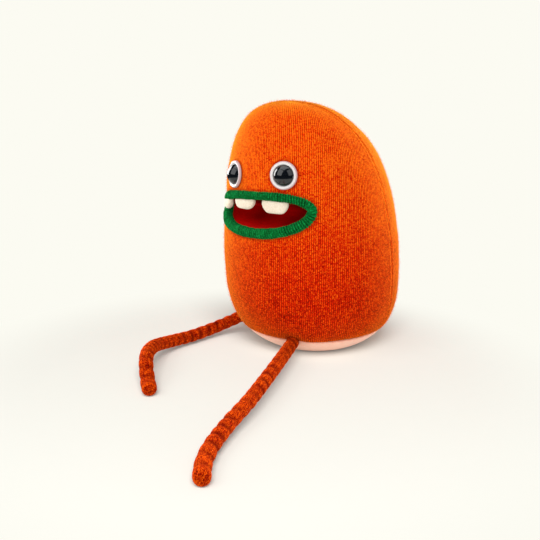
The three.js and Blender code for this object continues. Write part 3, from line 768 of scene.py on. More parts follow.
def body_skin(name, rows, columns, shape, keep=None):
    """A skin over the body, with wales that run up each of its two panels."""
    angles = (np.arange(columns) / columns * 2 - 1) * math.pi
    grid_s, grid_a = np.meshgrid(rows, angles, indexing="ij")
    points = shape(grid_s, grid_a)
    kept = None
    if keep is not None:
        mid_a = grid_a[:-1] + math.pi / columns
        mid_z = np.interp((grid_s[:-1] + grid_s[1:]) / 2, PROFILE_S, PROFILE_Z)
        kept = keep(mid_a, mid_z)
    faces, corners = grid_faces(len(rows), columns, keep=kept)
    arc = rows[corners[:, 0]]
    angle = (corners[:, 1] / columns * 2 - 1) * math.pi
    seam = math.radians(SIDE_SEAM_ANGLE)
    middle = np.repeat(angle.reshape(-1, 4).mean(axis=1), 4)
    front = wale_place(angle, arc, math.radians(WALE_MIDDLE_ANGLE))
    back = wale_place(np.where(middle < 0, angle + 2 * math.pi, angle), arc, math.pi)
    uv = np.stack([np.where(np.abs(middle) > seam, back + BACK_PANEL_SHIFT, front), arc], axis=-1)
    skin = new_object(name, points, faces, uv)
    # Painted shade beside the base seam, the lip, the eye rims and the leg roots.
    store_mask(skin, painted_shade_of(points, np.abs(grid_s - arc_at(SEAM_HEIGHT))))
    return skin


LEG_SPOTS = [on_body(math.radians(leg["hip"][0]), leg["hip"][1]) for leg in LEGS.values()]
LIP_TURNS = np.linspace(0, 2 * math.pi, 361)[:-1]
LIP_LINE = lip_middle(LIP_TURNS)
LIP_SIZE = lip_radius(LIP_TURNS)


def near_lip(points):
    """Distance of each point from the lip's surface."""
    flat = points.reshape(-1, 3)
    nearest = [(np.linalg.norm(LIP_LINE - point, axis=1) - LIP_SIZE).min() for point in flat]
    return np.array(nearest).reshape(points.shape[:-1])


def shade_beside(kind, gap):
    depth, reach = SHADE_BESIDE[kind]
    return depth * np.exp(-(np.maximum(gap, 0) / reach) ** 2)


def painted_shade_of(points, seam_gap):
    """How much painted shade a place on the skin gets, standing in for the light hidden by what is sewn on
    beside it.
    """
    painted_shade = np.maximum(shade_beside("seam", seam_gap), shade_beside("lip", near_lip(points)))
    spots = [("eye", place, EYE_RIM_RADIUS) for place, _ in EYES.values()]
    spots += [("leg", place, LEG_RADIUS) for place in LEG_SPOTS]
    for kind, place, radius in spots:
        gap = np.linalg.norm(points - place, axis=-1) - radius
        painted_shade = np.maximum(painted_shade, shade_beside(kind, gap))
    return painted_shade


def pull_at_legs(points, depth, reach):
    """Draws the skin in where each leg is sewn on."""
    for place in LEG_SPOTS:
        inward = unit(np.array([0, centre_at(place[2]), place[2] + 12]) - place)
        beside = np.linalg.norm(points - place, axis=-1)
        points = points + (depth * np.exp(-(beside / reach) ** 2))[..., None] * inward
    return points


def cover_shape(arc, angle):
    """The cover's outside: drawn in at the side seams and at the base seam, a little uneven."""
    seam = math.radians(SIDE_SEAM_ANGLE)
    radius = np.interp(arc, PROFILE_S, PROFILE_R)
    beside = (np.abs(angle) - seam) * np.maximum(radius, 12)
    ridge = 0.5 * np.exp(-((np.abs(beside) - 2.6) / 1.6) ** 2)
    groove = ridge - 0.7 * np.exp(-(beside / 1.5) ** 2)
    fade = smoothstep(0, 40, PROFILE_S[-1] - arc)
    low = arc - arc_at(SEAM_HEIGHT)
    tuck = -SEAM_TUCK * np.exp(-low / 2.2)
    flat = skin_points(arc, angle)
    uneven = bumps(flat, 42, 0.9).reshape(arc.shape) + bumps(flat, 16, 0.25, 7.3).reshape(arc.shape)
    skin = skin_points(arc, angle, groove * (0.4 + 0.6 * fade) + tuck + uneven)
    return pull_at_legs(press_skin(skin), depth=1.6, reach=9.0)


def panel_shape(arc, angle):
    """The base panel's outside: puckered where it meets the cover, flat underneath."""
    gap = arc_at(SEAM_HEIGHT) - arc
    tuck = -SEAM_TUCK * np.exp(-gap / 2.0)
    pucker = 0.35 * np.sin(angle * 46 + 2 * np.sin(angle * 5)) * np.exp(-gap / 5)
    skin = skin_points(arc, angle, tuck + pucker * smoothstep(0, 6, arc))
    return pull_at_legs(skin, depth=1.2, reach=8.0)


def make_body():
    top = PROFILE_S[-1]
    seam = arc_at(SEAM_HEIGHT)
    rows = body_rows(seam + 0.15, top - 0.6, spacing=1.9)
    columns = 276
    cover = body_skin("knit_body_cover", rows, columns, cover_shape, keep=lambda a, z: ~in_mouth(a, z))
    close_last(cover, len(rows), columns, skin_points(PROFILE_S[-1], 0.0))
    for seed, (name, across, ahead) in enumerate(QUARTERS):
        quarter = quarter_of(cover, across, ahead)
        fuzz = fuzz_on(quarter, f"body_fuzz_{name}", ORANGE_FUZZ, density=28, length=2.6, seed=seed + 3)
        bpy.data.objects.remove(quarter)
        finish_piece(fuzz, None, "body_knit")
    solidify(cover, KNIT_THICKNESS)
    finish_piece(cover, BODY_KNIT, "body_knit", "body_cover", padded=0.95)

    rows = body_rows(0, seam - 0.15, spacing=1.6)
    columns = 236
    panel = body_skin("knit_base_panel", rows, columns, panel_shape)
    close_start(panel, columns, (0, 0, 0))
    solidify(panel, PANEL_THICKNESS)
    finish_piece(panel, PINK_KNIT, "base_knit", "base_panel")


def close_ring(obj, ring, middle, flip):
    """Fills an open ring of vertices with a fan about a new middle point."""
    mesh = obj.data
    bm = bmesh.new()
    bm.from_mesh(mesh)
    bm.verts.ensure_lookup_table()
    layer = bm.loops.layers.uv["knit"]
    loop = [bm.verts[index] for index in ring]
    hub = bm.verts.new(Vector(middle) * MM)
    for start, after in zip(loop, loop[1:] + loop[:1]):
        pair = [start, after]
        if flip:
            pair.reverse()
        face = bm.faces.new([hub, *pair])
        face.smooth = True
        for corner in face.loops:
            corner[layer].uv = (corner.vert.co.x / MM, corner.vert.co.y / MM)
    bm.to_mesh(mesh)
    bm.free()


def close_start(obj, columns, middle):
    close_ring(obj, range(columns), middle, True)


def close_last(obj, rows, columns, middle):
    close_ring(obj, range((rows - 1) * columns, rows * columns), middle, False)


def close_both(obj, points):
    """Closes the first and last rings of a tube given as rows of points."""
    rows, columns = points.shape[:2]
    close_start(obj, columns, points[0].mean(axis=0))
    close_last(obj, rows, columns, points[-1].mean(axis=0))


QUARTERS = [("front_right", -1, -1), ("front_left", 1, -1), ("back_right", -1, 1), ("back_left", 1, 1)]


def quarter_of(obj, across, ahead):
    """A copy of one quarter of the skin, without the faces that the eyes' rims cover."""
    bm = bmesh.new()
    bm.from_mesh(obj.data)

    def unwanted(face):
        place = np.array(face.calc_center_median()) / MM
        if place[0] * across < 0 or (place[1] - centre_at(place[2])) * ahead < 0:
            return True
        return any(np.linalg.norm(place - eye) < EYE_RIM_RADIUS for eye, _ in EYES.values())

    bmesh.ops.delete(bm, geom=[f for f in bm.faces if unwanted(f)], context="FACES")
    mesh = bpy.data.meshes.new("quarter")
    bm.to_mesh(mesh)
    bm.free()
    return link_object("quarter", mesh)


def finish_piece(obj, material, slot, *nodes, padded=None):
    """Gives a piece of the body its material, parents it to the torso and hides the solids it stands for."""
    if material:
        obj.data.materials.append(material)
    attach(obj, "torso")
    if nodes:
        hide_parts(*nodes)


# Mouth

def even_turns(count):
    """Turns that are evenly spaced along the lip's length."""
    turn = np.linspace(0, 2 * math.pi, 721)
    place = lip_middle(turn)
    arc = np.concatenate([[0], np.cumsum(np.linalg.norm(np.diff(place, axis=0), axis=1))])
    return np.interp(np.arange(count) / count * arc[-1], arc, turn), arc[-1]


def clear_of_lip(points, gap):
    """Moves points that would be inside the lip out to its surface."""
    flat = points.reshape(-1, 3).copy()
    away = flat[:, None, :] - LIP_LINE[None, :, :]
    reach = np.linalg.norm(away, axis=2) - LIP_SIZE
    nearest = reach.argmin(axis=1)
    least = reach[np.arange(len(flat)), nearest]
    inside = least < gap
    push = away[np.arange(len(flat)), nearest][inside]
    flat[inside] = LIP_LINE[nearest[inside]] + unit(push) * (LIP_SIZE[nearest[inside]] + gap)[:, None]
    return flat.reshape(points.shape)


def lip_frames(turns):
    """Places on the lip's middle line, with the directions along it, out of the body and across."""
    place = lip_middle(turns)
    along = unit(np.roll(place, -1, axis=0) - np.roll(place, 1, axis=0))
    angle = np.arctan2(place[:, 0], centre_at(place[:, 2]) - place[:, 1])
    out = body_normal(angle, place[:, 2])
    out = unit(out - np.sum(out * along, axis=1)[:, None] * along)
    return place, along, out, np.cross(along, out)


def make_lip():
    """A stuffed roll of ribbed knit, with its ribs running round the roll."""
    _, length = even_turns(10)
    ribs = int(round(length / RIB_PITCH))
    per_rib, sides = 8, 22
    count = ribs * per_rib
    turns, _ = even_turns(count)
    place, along, out, side = lip_frames(turns)
    rng = np.random.default_rng(5)
    rib_size = rng.normal(0, 0.14, ribs)
    rib_depth = rng.uniform(0.45, 0.95, ribs)
    index = np.arange(count) // per_rib
    phase = (np.arange(count) % per_rib) / per_rib
    dip = np.abs(np.cos(math.pi * phase)) ** 3
    spots = around(sides)
    round_lip = around(count)
    swell = 0.25 * np.sin(9 * round_lip) + 0.15 * np.sin(23 * round_lip + 1)
    radius = lip_radius(turns) - 0.05 + rib_size[index] * (1 - dip) + swell * 0.5 - rib_depth[index] * dip
    lean = 0.3 + 0.3 * np.sin(5 * round_lip)
    ring = rings_about(place, radius[:, None, None], spots, out[:, None, :], side[:, None, :])
    ring = ring + (lean[:, None] * np.sin(spots)[None, :])[:, :, None] * along[:, None, :] * 2.0
    faces, corners = grid_faces(count, sides, loop_rows=True)
    uv = np.stack([corners[:, 0] / count * length, corners[:, 1] / sides * 2 * math.pi * LIP_RADIUS], axis=-1)
    lip = new_object("ribbed_lip", ring, faces, uv)
    # Painted shade in the grooves between ribs, darker where a rib sinks deeper.
    store_mask(lip, np.repeat(dip * rib_depth[index], sides))
    flip_if_inside_out(lip)
    fuzz = fuzz_on(lip, "lip_fuzz", GREEN_FUZZ, density=60, length=0.9, seed=8)
    finish_piece(fuzz, None, "lip_rib")
    finish_piece(lip, LIP_KNIT, "lip_rib", "lip_roll", padded=0.9)


def make_lip_cord():
    """The soft cord that fills the lip, along the lip's own line."""
    turns, length = even_turns(220)
    place, _, out, side = lip_frames(turns)
    sides = 14
    spots = around(sides)
    radius = LIP_CORD_SHARE * lip_radius(turns)[:, None, None]
    ring = rings_about(place, radius, spots, out[:, None, :], side[:, None, :])
    faces, corners = grid_faces(len(turns), sides, loop_rows=True)
    uv = np.stack([corners[:, 0] / len(turns) * length, corners[:, 1] / sides], axis=-1)
    cord = new_object("lip_filling_cord", ring, faces, uv)
    flip_if_inside_out(cord)
    finish_piece(cord, STUFFING, "cord_cotton", "lip_cord")


def store_mask(obj, values):
    """Keeps a value from 0 to 1 on each point, which the materials read as painted shade."""
    attribute = obj.data.attributes.new("painted_shade", "FLOAT", "POINT")
    attribute.data.foreach_set("value", np.asarray(values, np.float32).ravel())


def flip_if_inside_out(obj):
    """Turns a closed mesh's faces outward, by the sign of its volume."""
    bm = bmesh.new()
    bm.from_mesh(obj.data)
    if bm.calc_volume(signed=True) < 0:
        bmesh.ops.reverse_faces(bm, faces=bm.faces)
        bm.to_mesh(obj.data)
    bm.free()


def make_lining():
    """The felt pouch behind the lip, closing to a level fold."""
    steps, rows = 160, 36
    turn = around(steps)
    rim = mouth_point(turn, -LINING_INSET, -LIP_SINK - LINING_DEPTH)
    rim = rim + lip_middle(turn) - mouth_point(turn, 0, -LIP_SINK)
    rings = []
    for row in range(rows + 1):
        depth = math.sin(row / rows * math.pi / 2) * MOUTH_FOLD_CLOSENESS
        closing = math.sqrt(1 - depth * depth)
        rings.append(np.stack([
            rim[:, 0] * (1 - MOUTH_FOLD_NARROWING * depth * depth),
            rim[:, 1] + (MOUTH_BACK_Y - rim[:, 1]) * depth,
            MOUTH_FOLD_HEIGHT + (rim[:, 2] - MOUTH_FOLD_HEIGHT) * closing], axis=-1))
    points = np.array(rings)
    soft = bumps(points, 14, 0.6, 3.1).reshape(points.shape[:2])
    points[:, :, 2] += soft * np.sin(np.linspace(0, math.pi / 2, rows + 1))[:, None]
    faces, corners = grid_faces(rows + 1, steps)
    uv = np.stack([corners[:, 1] / steps * 260, corners[:, 0] / rows * 50], axis=-1)
    lining = new_object("felt_mouth_lining", points, faces, uv)
    # Painted shade inside the mouth: above the fold, towards positive x and deep in the pouch's middle.
    above_fold = smoothstep(-7, 7, points[:, :, 2] - MOUTH_FOLD_HEIGHT)
    aside = smoothstep(-10, 34, points[:, :, 0])
    deep = np.exp(-((points[:, :, 0] + 25) / 15) ** 2) * smoothstep(-74, -58, points[:, :, 1])
    store_mask(lining, np.clip(0.55 * above_fold + 0.5 * aside + 0.7 * deep - 0.1, 0, 1))
    close_last(lining, rows + 1, steps, points[-1].mean(axis=0))
    solidify(lining, FELT_THICKNESS - 0.2, offset=thick_side(lining))
    flip_if_inside_out(lining)
    finish_piece(lining, MOUTH_FELT, "mouth_felt", "mouth_lining")


def thick_side(obj):
    """Solidify's offset that thickens the pouch away from its hollow."""
    mesh = obj.data
    centre = Vector((0, -0.075, 0.146))
    facing = sum((f.center - centre).dot(f.normal) for f in mesh.polygons)
    return 1.0 if facing > 0 else -1.0


def tooth_points(tooth, rows, sides, seed):
    """A puffed pad wrapped to the curve of the mouth, narrower below."""
    drop = np.linspace(0, 1, rows)[:, None]
    bulge = np.maximum(0, np.sin(math.pi * (TOOTH_PLUMP_START + (1 - TOOTH_PLUMP_START) * drop)))
    swell = np.maximum(TOOTH_EDGE, bulge ** TOOTH_BLUNTNESS)
    narrowing = TOOTH_NARROWEST + (1 - TOOTH_NARROWEST) * swell
    half_width = tooth["width"] / 2 * (1 + (TOOTH_TAPER - 1) * drop) * narrowing
    half_depth = TOOTH_THICKNESS / 2 * swell
    turn = around(sides)
    across = np.sign(np.cos(turn)) * np.abs(np.cos(turn)) ** TOOTH_SQUARENESS
    depth = np.sign(np.sin(turn)) * np.abs(np.sin(turn)) ** TOOTH_SQUARENESS
    middle = math.radians(tooth["angle"])
    angle = middle + half_width * across / outline_at(MOUTH_MIDDLE_HEIGHT)
    top = upper_lip_at(middle) * (1 - TOOTH_FOLLOW) + upper_lip_at(angle) * TOOTH_FOLLOW
    height = top - TOOTH_HANG - tooth["length"] * drop
    points = on_body(angle, height, -tooth["set_back"] - half_depth * depth)
    out = unit(points - points.mean(axis=1, keepdims=True))
    lumps = bumps(points, 5, 0.4, seed).reshape(points.shape[:2])
    return points + out * lumps[..., None]


def make_teeth():
    rows, sides = 34, 56
    for seed, (name, tooth) in enumerate(TEETH.items()):
        points = clear_of_lip(tooth_points(tooth, rows, sides, 2.0 + seed), 0.2)
        faces, corners = grid_faces(rows, sides)
        uv = np.stack([corners[:, 1] / sides * 60, corners[:, 0] / rows * 16], axis=-1)
        pad = new_object(f"felt_tooth_{name}", points, faces, uv)
        close_both(pad, points)
        flip_if_inside_out(pad)
        fuzz = fuzz_on(pad, f"tooth_fuzz_{name}", CREAM_FUZZ, density=160, length=0.9, seed=20 + seed)
        finish_piece(fuzz, None, "tooth_felt")
        finish_piece(pad, TOOTH_FELT, "tooth_felt", f"tooth_{name}", padded=0.8)


# Eyes

def turned(name, profile, place, out, segments=96):
    """A solid turned about the axis through place along out, from (radius, height) pairs."""
    rows = len(profile)
    turn = around(segments)
    radius, height = np.array(profile, float).T
    out = unit(out)
    side = unit(np.cross((0, 0, 1), out))
    over = np.cross(out, side)
    points = rings_about(place + height[:, None] * out, radius[:, None, None], turn, side, over)
    faces, corners = grid_faces(rows, segments)
    uv = np.stack([corners[:, 1] / segments * 60, corners[:, 0]], axis=-1)
    obj = new_object(name, points, faces, uv)
    bm = bmesh.new()
    bm.from_mesh(obj.data)
    bmesh.ops.remove_doubles(bm, verts=bm.verts, dist=1e-7)
    bmesh.ops.recalc_face_normals(bm, faces=bm.faces)
    bm.to_mesh(obj.data)
    bm.free()
    flip_if_inside_out(obj)
    return obj


def rounded(points, radius, steps=5):
    """Rounds the inner corners of a closed or open outline of (radius, height) pairs."""
    out = [points[0]]
    for before, corner, after in zip(points, points[1:], points[2:]):
        a, b, c = (np.array(p, float) for p in (before, corner, after))
        u, v = a - b, c - b
        reach = min(radius, np.linalg.norm(u) / 2.1, np.linalg.norm(v) / 2.1)
        p, q = b + unit(u) * reach, b + unit(v) * reach
        for step in range(steps + 1):
            t = step / steps
            out.append(tuple((1 - t) ** 2 * p + 2 * t * (1 - t) * b + t * t * q))
    out.append(points[-1])
    return out


def make_eyes():
    ball = (EYE_RADIUS ** 2 + EYE_DOME_HEIGHT ** 2) / (2 * EYE_DOME_HEIGHT)
    widest = math.asin(EYE_RADIUS / ball)
    foot = EYE_RIM_FLOOR + FIT_GAP
    hole = EYE_SHANK_RADIUS + FIT_GAP
    for name, (place, out) in EYES.items():
        start = [(0, -EYE_SHANK_LENGTH), (EYE_SHANK_RADIUS, -EYE_SHANK_LENGTH), (EYE_SHANK_RADIUS, foot),
                 (EYE_RADIUS - 0.1, foot), (EYE_RADIUS, foot + EYE_BRIM)]
        profile = rounded(start, 0.3, 3)
        for step in range(1, 33):
            lean = widest * (1 - step / 32)
            rise = ball * (math.cos(lean) - math.cos(widest))
            profile.append((ball * math.sin(lean), foot + EYE_BRIM + rise))
        eye = turned(f"safety_eye_{name}", profile, place, out)
        finish_piece(eye, EYE_BLACK, "eye_plastic", f"eye_{name}")

        crest = [
            (EYE_RIM_RADIUS - EYE_RIM_CREST * (1 - math.cos(lean)),
             EYE_RIM_EDGE + (EYE_RIM_HEIGHT - EYE_RIM_EDGE) * math.sin(lean))
            for lean in np.linspace(0, math.pi / 2, 12)]
        rim_outline = [
            (hole, EYE_RIM_FLOOR / 2), (hole, 0), (EYE_RIM_RADIUS, 0), *crest,
            (EYE_RADIUS + FIT_GAP, EYE_RIM_BROW), (EYE_RADIUS + FIT_GAP, EYE_RIM_FLOOR),
            (hole, EYE_RIM_FLOOR), (hole, EYE_RIM_FLOOR / 2)]
        rim = turned(f"eye_rim_ring_{name}", rounded(rim_outline, 0.3, 4), place, out)
        # Painted pinkish shade on the rim's outer slope.
        away = np.array([v.co for v in rim.data.vertices]) / MM - place
        beside = np.linalg.norm(away - (away @ out)[:, None] * out, axis=-1)
        store_mask(rim, smoothstep(EYE_RIM_RADIUS - 2.0, EYE_RIM_RADIUS - 0.4, beside))
        finish_piece(rim, RIM_WHITE, "rim_plastic", f"eye_rim_{name}")


# Legs

def catmull_rom(points, per_span=60):
    """The same centripetal curve that the solids follow, as many short steps."""
    p = [np.array(q, float) for q in points]
    p = [2 * p[0] - p[1], *p, 2 * p[-1] - p[-2]]
    line = []
    for a, b, c, d in zip(p, p[1:], p[2:], p[3:]):
        knots = [0.0]
        for u, v in ((a, b), (b, c), (c, d)):
            knots.append(knots[-1] + max(np.linalg.norm(v - u) ** 0.5, 1e-4))
        t0, t1, t2, t3 = knots
        for t in np.linspace(t1, t2, per_span, endpoint=False):
            a1 = (t1 - t) / (t1 - t0) * a + (t - t0) / (t1 - t0) * b
            a2 = (t2 - t) / (t2 - t1) * b + (t - t1) / (t2 - t1) * c
            a3 = (t3 - t) / (t3 - t2) * c + (t - t2) / (t3 - t2) * d
            b1 = (t2 - t) / (t2 - t0) * a1 + (t - t0) / (t2 - t0) * a2
            b2 = (t3 - t) / (t3 - t1) * a2 + (t - t1) / (t3 - t1) * a3
            line.append((t2 - t) / (t2 - t1) * b1 + (t - t1) / (t2 - t1) * b2)
    line.append(p[-2])
    return np.array(line)


class Route:
    """A leg's middle line, measured by its length."""

    def __init__(self, hip, steps):
        root = on_body(math.radians(hip[0]), hip[1], -LEG_ROOT_DEPTH)
        points = [root] + [(root[0] + x, root[1] + y, z) for x, y, z in steps]
        self.line = catmull_rom(points)
        self.arc = np.concatenate([[0], np.cumsum(np.linalg.norm(np.diff(self.line, axis=0), axis=1))])
        self.length = self.arc[-1]

    def at(self, reach):
        reach = np.asarray(reach, float)
        return np.stack([np.interp(reach, self.arc, self.line[:, axis]) for axis in range(3)], axis=-1)

    def frames(self, reach):
        reach = np.asarray(reach, float)
        inside = np.clip(reach, 0.5, self.length - 0.5)
        along = unit(self.at(inside + 0.5) - self.at(inside - 0.5))
        place = self.at(reach)
        beyond = np.where(reach > self.length, reach - self.length, np.minimum(reach, 0))
        place = place + along * beyond[..., None]
        side = unit(np.cross(along, (0, 0, 1)))
        return place, along, side, np.cross(side, along)


ROUTES = {name: Route(leg["hip"], leg["steps"]) for name, leg in LEGS.items()}
FOLD_DEPTH = 0.85
LEG_FLUFF = 0.35
STITCH_ROW = 1.55
LEG_SPACING = 0.52
LEG_SIDES = 30
# Reach either side of each joint along the leg, in millimetres
HIP_BEND = 7
LIFT_BEND = 8
KNEE_BEND = 12


def folds(reach, turn, pitch, seed):
    """How far the leg's skin is drawn in, from 0 to 1: uneven folds across the leg."""
    drift = 2.0 * np.sin(reach / 31 + seed) + 1.3 * np.sin(reach / 12.3 + 2 * seed)
    tilt = 1.6 * np.sin(turn + seed + reach / 40)
    wave = 0.5 + 0.5 * np.cos(2 * math.pi * (reach + drift + tilt) / pitch)
    patch = 0.74 + 0.26 * np.sin(turn + reach / 17 + 3 * seed)
    return wave ** 2 * patch


def leg_surface(route, reach, turn, pitch, seed):
    """Points, fold depths and cloth places on a leg's skin."""
    length = route.length
    share = np.clip(reach / length, 0, 1)
    radius = LEG_RADIUS + (LEG_TIP_RADIUS - LEG_RADIUS) * share ** 3
    dome = np.clip(reach - length, 0, None)
    radius = np.sqrt(np.maximum(radius ** 2 - dome ** 2, 0))
    place, _, side, over = route.frames(reach)
    grid_r, grid_t = np.meshgrid(reach, turn, indexing="ij")
    fold = folds(grid_r, grid_t, pitch, seed) * smoothstep(0, 6, length + 3 - grid_r)
    rows = 0.12 * np.cos(2 * math.pi * grid_r / STITCH_ROW + 0.4 * np.sin(grid_t * 3))
    size = radius[:, None] - FOLD_DEPTH * fold + LEG_FLUFF + rows * (radius[:, None] > 2)
    size = np.where(radius[:, None] < 0.05, 0.02, size)
    points = (place[:, None, :]
              + (size * np.cos(grid_t))[..., None] * side[:, None, :]
              - (size * np.sin(grid_t))[..., None] * over[:, None, :])
    return points, fold


def leg_piece(name, side, low, high, pivot, bend, nodes, seed, toe=False):
    """A stretch of leg skin from low to high along the route, with its fuzz."""
    route = ROUTES[side]
    reach = np.linspace(low, high, int(round((high - low) / LEG_SPACING)) + 1)
    if toe:
        tip = LEG_TIP_RADIUS * np.sin(np.linspace(0, math.pi / 2, 16)[1:])
        tip[-1] = LEG_TIP_RADIUS
        reach = np.concatenate([reach, high + tip])
    points, fold = leg_surface(route, reach, around(LEG_SIDES), LEGS[side]["fold_pitch"], seed)
    faces, corners = grid_faces(len(reach), LEG_SIDES)
    arc = reach[corners[:, 0]]
    uv = np.stack([corners[:, 1] / LEG_SIDES * 2 * math.pi * LEG_RADIUS, arc], axis=-1)
    piece = new_object(name, points, faces, uv)
    # Painted shade in the folds and at the root, where the leg meets the body.
    root = 1 - smoothstep(3, 9, reach)
    store_mask(piece, np.maximum(0.95 * fold, root[:, None]))
    skin = link_object("skin", piece.data.copy())
    fuzz = fuzz_on(skin, f"{name}_fuzz", LEG_FUZZ, density=60, length=1.3, seed=int(seed * 10) + 31)
    bpy.data.objects.remove(skin)
    close_both(piece, points)
    flip_if_inside_out(piece)
    piece.data.materials.append(LEG_KNIT)
    sharpen_ends(piece, points[0], None if toe else points[-1])
    start, end = (tuple(route.at(pivot + shift) * MM) for shift in (-bend, bend))
    for obj in (piece, fuzz):
        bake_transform(obj)
    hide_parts(*nodes)


def sharpen_ends(obj, first, last):
    """Keeps the flat ends of a stretch from bending the light on its sides."""
    mesh = obj.data
    ends = [set(map(tuple, np.round(ring * MM, 6))) for ring in (first, last) if ring is not None]
    attribute = mesh.attributes.new("sharp_edge", "BOOLEAN", "EDGE")
    spots = [tuple(np.round(v.co, 6)) for v in mesh.vertices]
    flags = [any(spots[e.vertices[0]] in end and spots[e.vertices[1]] in end for end in ends)
             for e in mesh.edges]
    attribute.data.foreach_set("value", flags)


def make_legs():
    for seed, (side, leg) in enumerate(LEGS.items()):
        length = ROUTES[side].length
        knee = leg["knee"]
        mid_hip = (HIP_PIVOT + LIFT_PIVOT) / 2
        mid_thigh = (LIFT_PIVOT + knee) / 2
        fold_seed = 1.3 + seed
        leg_piece(f"leg_hip_skin_{side}", side, 1.6, mid_hip,
                  HIP_PIVOT, HIP_BEND, [f"leg_root_{side}"], fold_seed)
        leg_piece(f"leg_thigh_skin_{side}", side, mid_hip, mid_thigh,
                  LIFT_PIVOT, LIFT_BEND, [f"leg_hip_{side}", f"leg_thigh_{side}"], fold_seed)
        leg_piece(f"leg_shin_skin_{side}", side, mid_thigh, length,
                  knee, KNEE_BEND, [f"leg_shin_{side}"], fold_seed, toe=True)


# Inside pieces

def soft_copy(node, name, material, slot):
    """A smoothed stand-in for a soft solid that is out of sight."""
    obj = link_object(name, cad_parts[node].data.copy())
    obj.data.materials.clear()
    for polygon in obj.data.polygons:
        polygon.use_smooth = True
        polygon.material_index = 0
    finish_piece(obj, material, slot, node)


def make_inside():
    soft_copy("body_stuffing", "fibre_filling", STUFFING, "stuffing")
    soft_copy("pellet_bag", "pellet_pouch", BAG_CLOTH, "bag_cloth")
    make_lip_cord()
    for name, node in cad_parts.items():
        if "wire" in name or name == "armature_crossbar":
            dress(node, WIRE)
        if name.startswith("eye_washer"):
            dress(node, WASHER_WHITE)


def dress(node, material):
    """Gives a solid that stays in the scene its material."""
    if not node.material_slots:
        node.data.materials.append(material)
    for entry in node.material_slots:
        entry.material = material


# Studio

TOY_MIDDLE = (0, 0, 0.11)
PAPER = (0.973, 0.965, 0.888)
PAPER_SHARE = 0.495
# How plain the paper is beside the toy, and between which distances in metres it turns plain
PLAIN_NEAR = 0.13
CLEAR_REACH = 0.19
PLAIN_REACH = 0.33
SHADOW_MIDDLE = (0.03, -0.15, 0.0)


def seen_directly(n):
    """One for rays that show a surface in the picture or in a reflection."""
    path = n.add("ShaderNodeLightPath").outputs
    return n.math("ADD", n.math("ADD", path["Is Camera Ray"], path["Is Glossy Ray"]),
                  path["Is Transmission Ray"], clamp=True)


def floor_material():
    """Paper that keeps its shadows near the toy and runs out into the plain pale background."""
    material, n, shader = new_material("pale_paper", 0.9, Specular_IOR_Level=0.1)
    place = n.place()
    grain = n.noise(place, 60.0, 3.0)
    paper = tuple(PAPER_SHARE * c for c in PAPER)
    n.link(n.mix(grain, tuple(0.985 * c for c in paper), paper), shader.inputs["Base Color"])
    middle = n.add("ShaderNodeVectorMath", {0: place, 1: SHADOW_MIDDLE}, operation="DISTANCE")
    far = n.add("ShaderNodeMapRange", {
        "Value": middle.outputs["Value"], "From Min": CLEAR_REACH, "From Max": PLAIN_REACH,
    }, interpolation_type="SMOOTHSTEP")
    share = n.math("ADD", n.math("MULTIPLY", far.outputs[0], 1 - PLAIN_NEAR), PLAIN_NEAR)
    plain = n.add("ShaderNodeEmission", {"Color": (*PAPER, 1)})
    mixed = n.add("ShaderNodeMixShader", {
        0: n.math("MULTIPLY", share, seen_directly(n)), 1: shader.outputs[0], 2: plain.outputs[0]})
    n.link(mixed.outputs[0], material.node_tree.nodes["Material Output"].inputs["Surface"])
    return material


def make_floor():
    """A wide round sheet of paper."""
    rings = [0.001, 0.3, 0.8, 2.0, 5.0, 12.0]
    turn = around(96)
    points = [(r * math.cos(t) / MM, r * math.sin(t) / MM, 0) for r in rings for t in turn]
    faces, _ = grid_faces(len(rings), 96)
    floor = new_object("paper_floor", points, faces)
    floor.data.materials.append(floor_material())
    return floor


def studio_place(right, front, up):
    """A place given to the right, to the camera's side and above, as the photograph sees it."""
    a = math.radians(CAMERA_AZIMUTH)
    r = Vector((math.cos(a), math.sin(a), 0))
    b = Vector((math.sin(a), -math.cos(a), 0))
    return r * right + b * front + Vector((0, 0, up))


def linked(name, floor, state):
    """A set of lit objects in which the floor is included or excluded."""
    lit = bpy.data.collections.new(name)
    lit.objects.link(floor)
    lit.collection_objects[0].light_linking.link_state = state
    return lit


def softbox(name, place, target, size, power, mirrored, lit):
    """A rectangular lamp. One that isn't mirrored leaves no reflection in the shiny eyes."""
    light = bpy.data.lights.new(name, "AREA")
    light.shape = "RECTANGLE"
    light.size, light.size_y = size
    light.energy = power
    obj = link_object(name, light)
    obj.location = place
    obj.rotation_euler = (Vector(target) - Vector(place)).to_track_quat("-Z", "Y").to_euler()
    obj.visible_glossy = mirrored
    if lit:
        obj.light_linking.receiver_collection = lit


def make_dark_room():
    """What the shiny eyes see past the paper's near edge: an unlit room. Nothing else sees it."""
    rings = [(0.46, 0.002), (1.2, 0.003), (2.3, 0.01), (2.34, 0.8), (2.1, 1.6), (1.4, 2.3), (0.01, 2.6)]
    turn = around(48)
    points = [(r * math.cos(t) / MM, r * math.sin(t) / MM, z / MM) for r, z in rings for t in turn]
    faces, _ = grid_faces(len(rings), 48)
    room = new_object("dark_room", points, faces)
    material, _, shader = new_material("unlit_room", 1.0, Specular_IOR_Level=0.0)
    shader.inputs["Base Color"].default_value = (0.01, 0.011, 0.013, 1)
    room.data.materials.append(material)
    for kind in ("camera", "diffuse", "shadow", "transmission"):
        setattr(room, f"visible_{kind}", False)


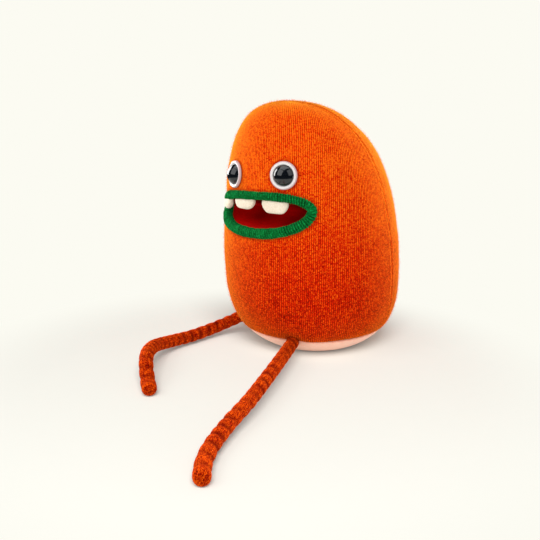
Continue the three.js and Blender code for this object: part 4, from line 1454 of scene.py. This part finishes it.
def make_studio():
    floor = make_floor()
    make_dark_room()
    toy_only = linked("all_but_floor", floor, "EXCLUDE")
    floor_only = linked("only_floor", floor, "INCLUDE")
    lamps = {
        "left": ((-1.1, 0.75, 0.95), (1.4, 1.5), 12.5, True, toy_only),
        "right": ((1.15, 0.75, 0.95), (1.2, 1.5), 6.5, True, toy_only),
        "top": ((-0.1, -0.1, 1.5), (1.5, 1.3), 12.0, True, toy_only),
        "low": ((0.1, 1.5, 0.25), (1.8, 0.4), 7.0, False, None),
        "back_left": ((-1.1, -0.9, 0.5), (1.0, 1.0), 26.0, True, toy_only),
        "back_right": ((1.1, -0.9, 0.5), (1.0, 1.0), 32.0, True, toy_only),
        "floor_left": ((-1.9, 2.1, 2.6), (2.6, 2.2), 66.0, False, floor_only),
        "floor_front": ((0.0, 2.6, 2.5), (1.9, 1.9), 250.0, False, floor_only),
    }
    for name, (place, size, power, mirrored, lit) in lamps.items():
        aim = (0, 0, 0) if lit == floor_only else TOY_MIDDLE
        softbox(f"softbox_{name}", studio_place(*place), aim, size, power, mirrored, lit)
    world = bpy.data.worlds.new("studio")
    bpy.context.scene.world = world
    world.use_nodes = True
    n = Nodes(world.node_tree)
    world.node_tree.nodes.clear()
    light = n.add("ShaderNodeBackground", {"Color": (0.97, 0.98, 1.0, 1), "Strength": 0.28})
    white = n.add("ShaderNodeBackground", {"Color": (*PAPER, 1), "Strength": 1.0})
    mixed = n.add("ShaderNodeMixShader", {0: seen_directly(n), 1: light.outputs[0], 2: white.outputs[0]})
    out = n.add("ShaderNodeOutputWorld", {"Surface": mixed.outputs[0]})
    out.is_active_output = True


def make_camera():
    data = bpy.data.cameras.new("camera")
    data.lens = CAMERA_LENS
    data.sensor_width = 36
    data.sensor_fit = "HORIZONTAL"
    data.clip_start = 0.01
    data.clip_end = 50
    camera = link_object("camera", data)
    a, e = math.radians(CAMERA_AZIMUTH), math.radians(CAMERA_ELEVATION)
    back = Vector((math.sin(a) * math.cos(e), -math.cos(a) * math.cos(e), math.sin(e)))
    camera.location = CAMERA_PLACE
    camera.rotation_euler = back.to_track_quat("Z", "Y").to_euler()
    bpy.context.scene.camera = camera


make_camera()
make_studio()
make_body()
make_lip()
make_lining()
make_teeth()
make_eyes()
make_legs()
make_inside()
bpy.data.objects.remove(HAIR)
bpy.context.scene.view_settings.view_transform = "Standard"
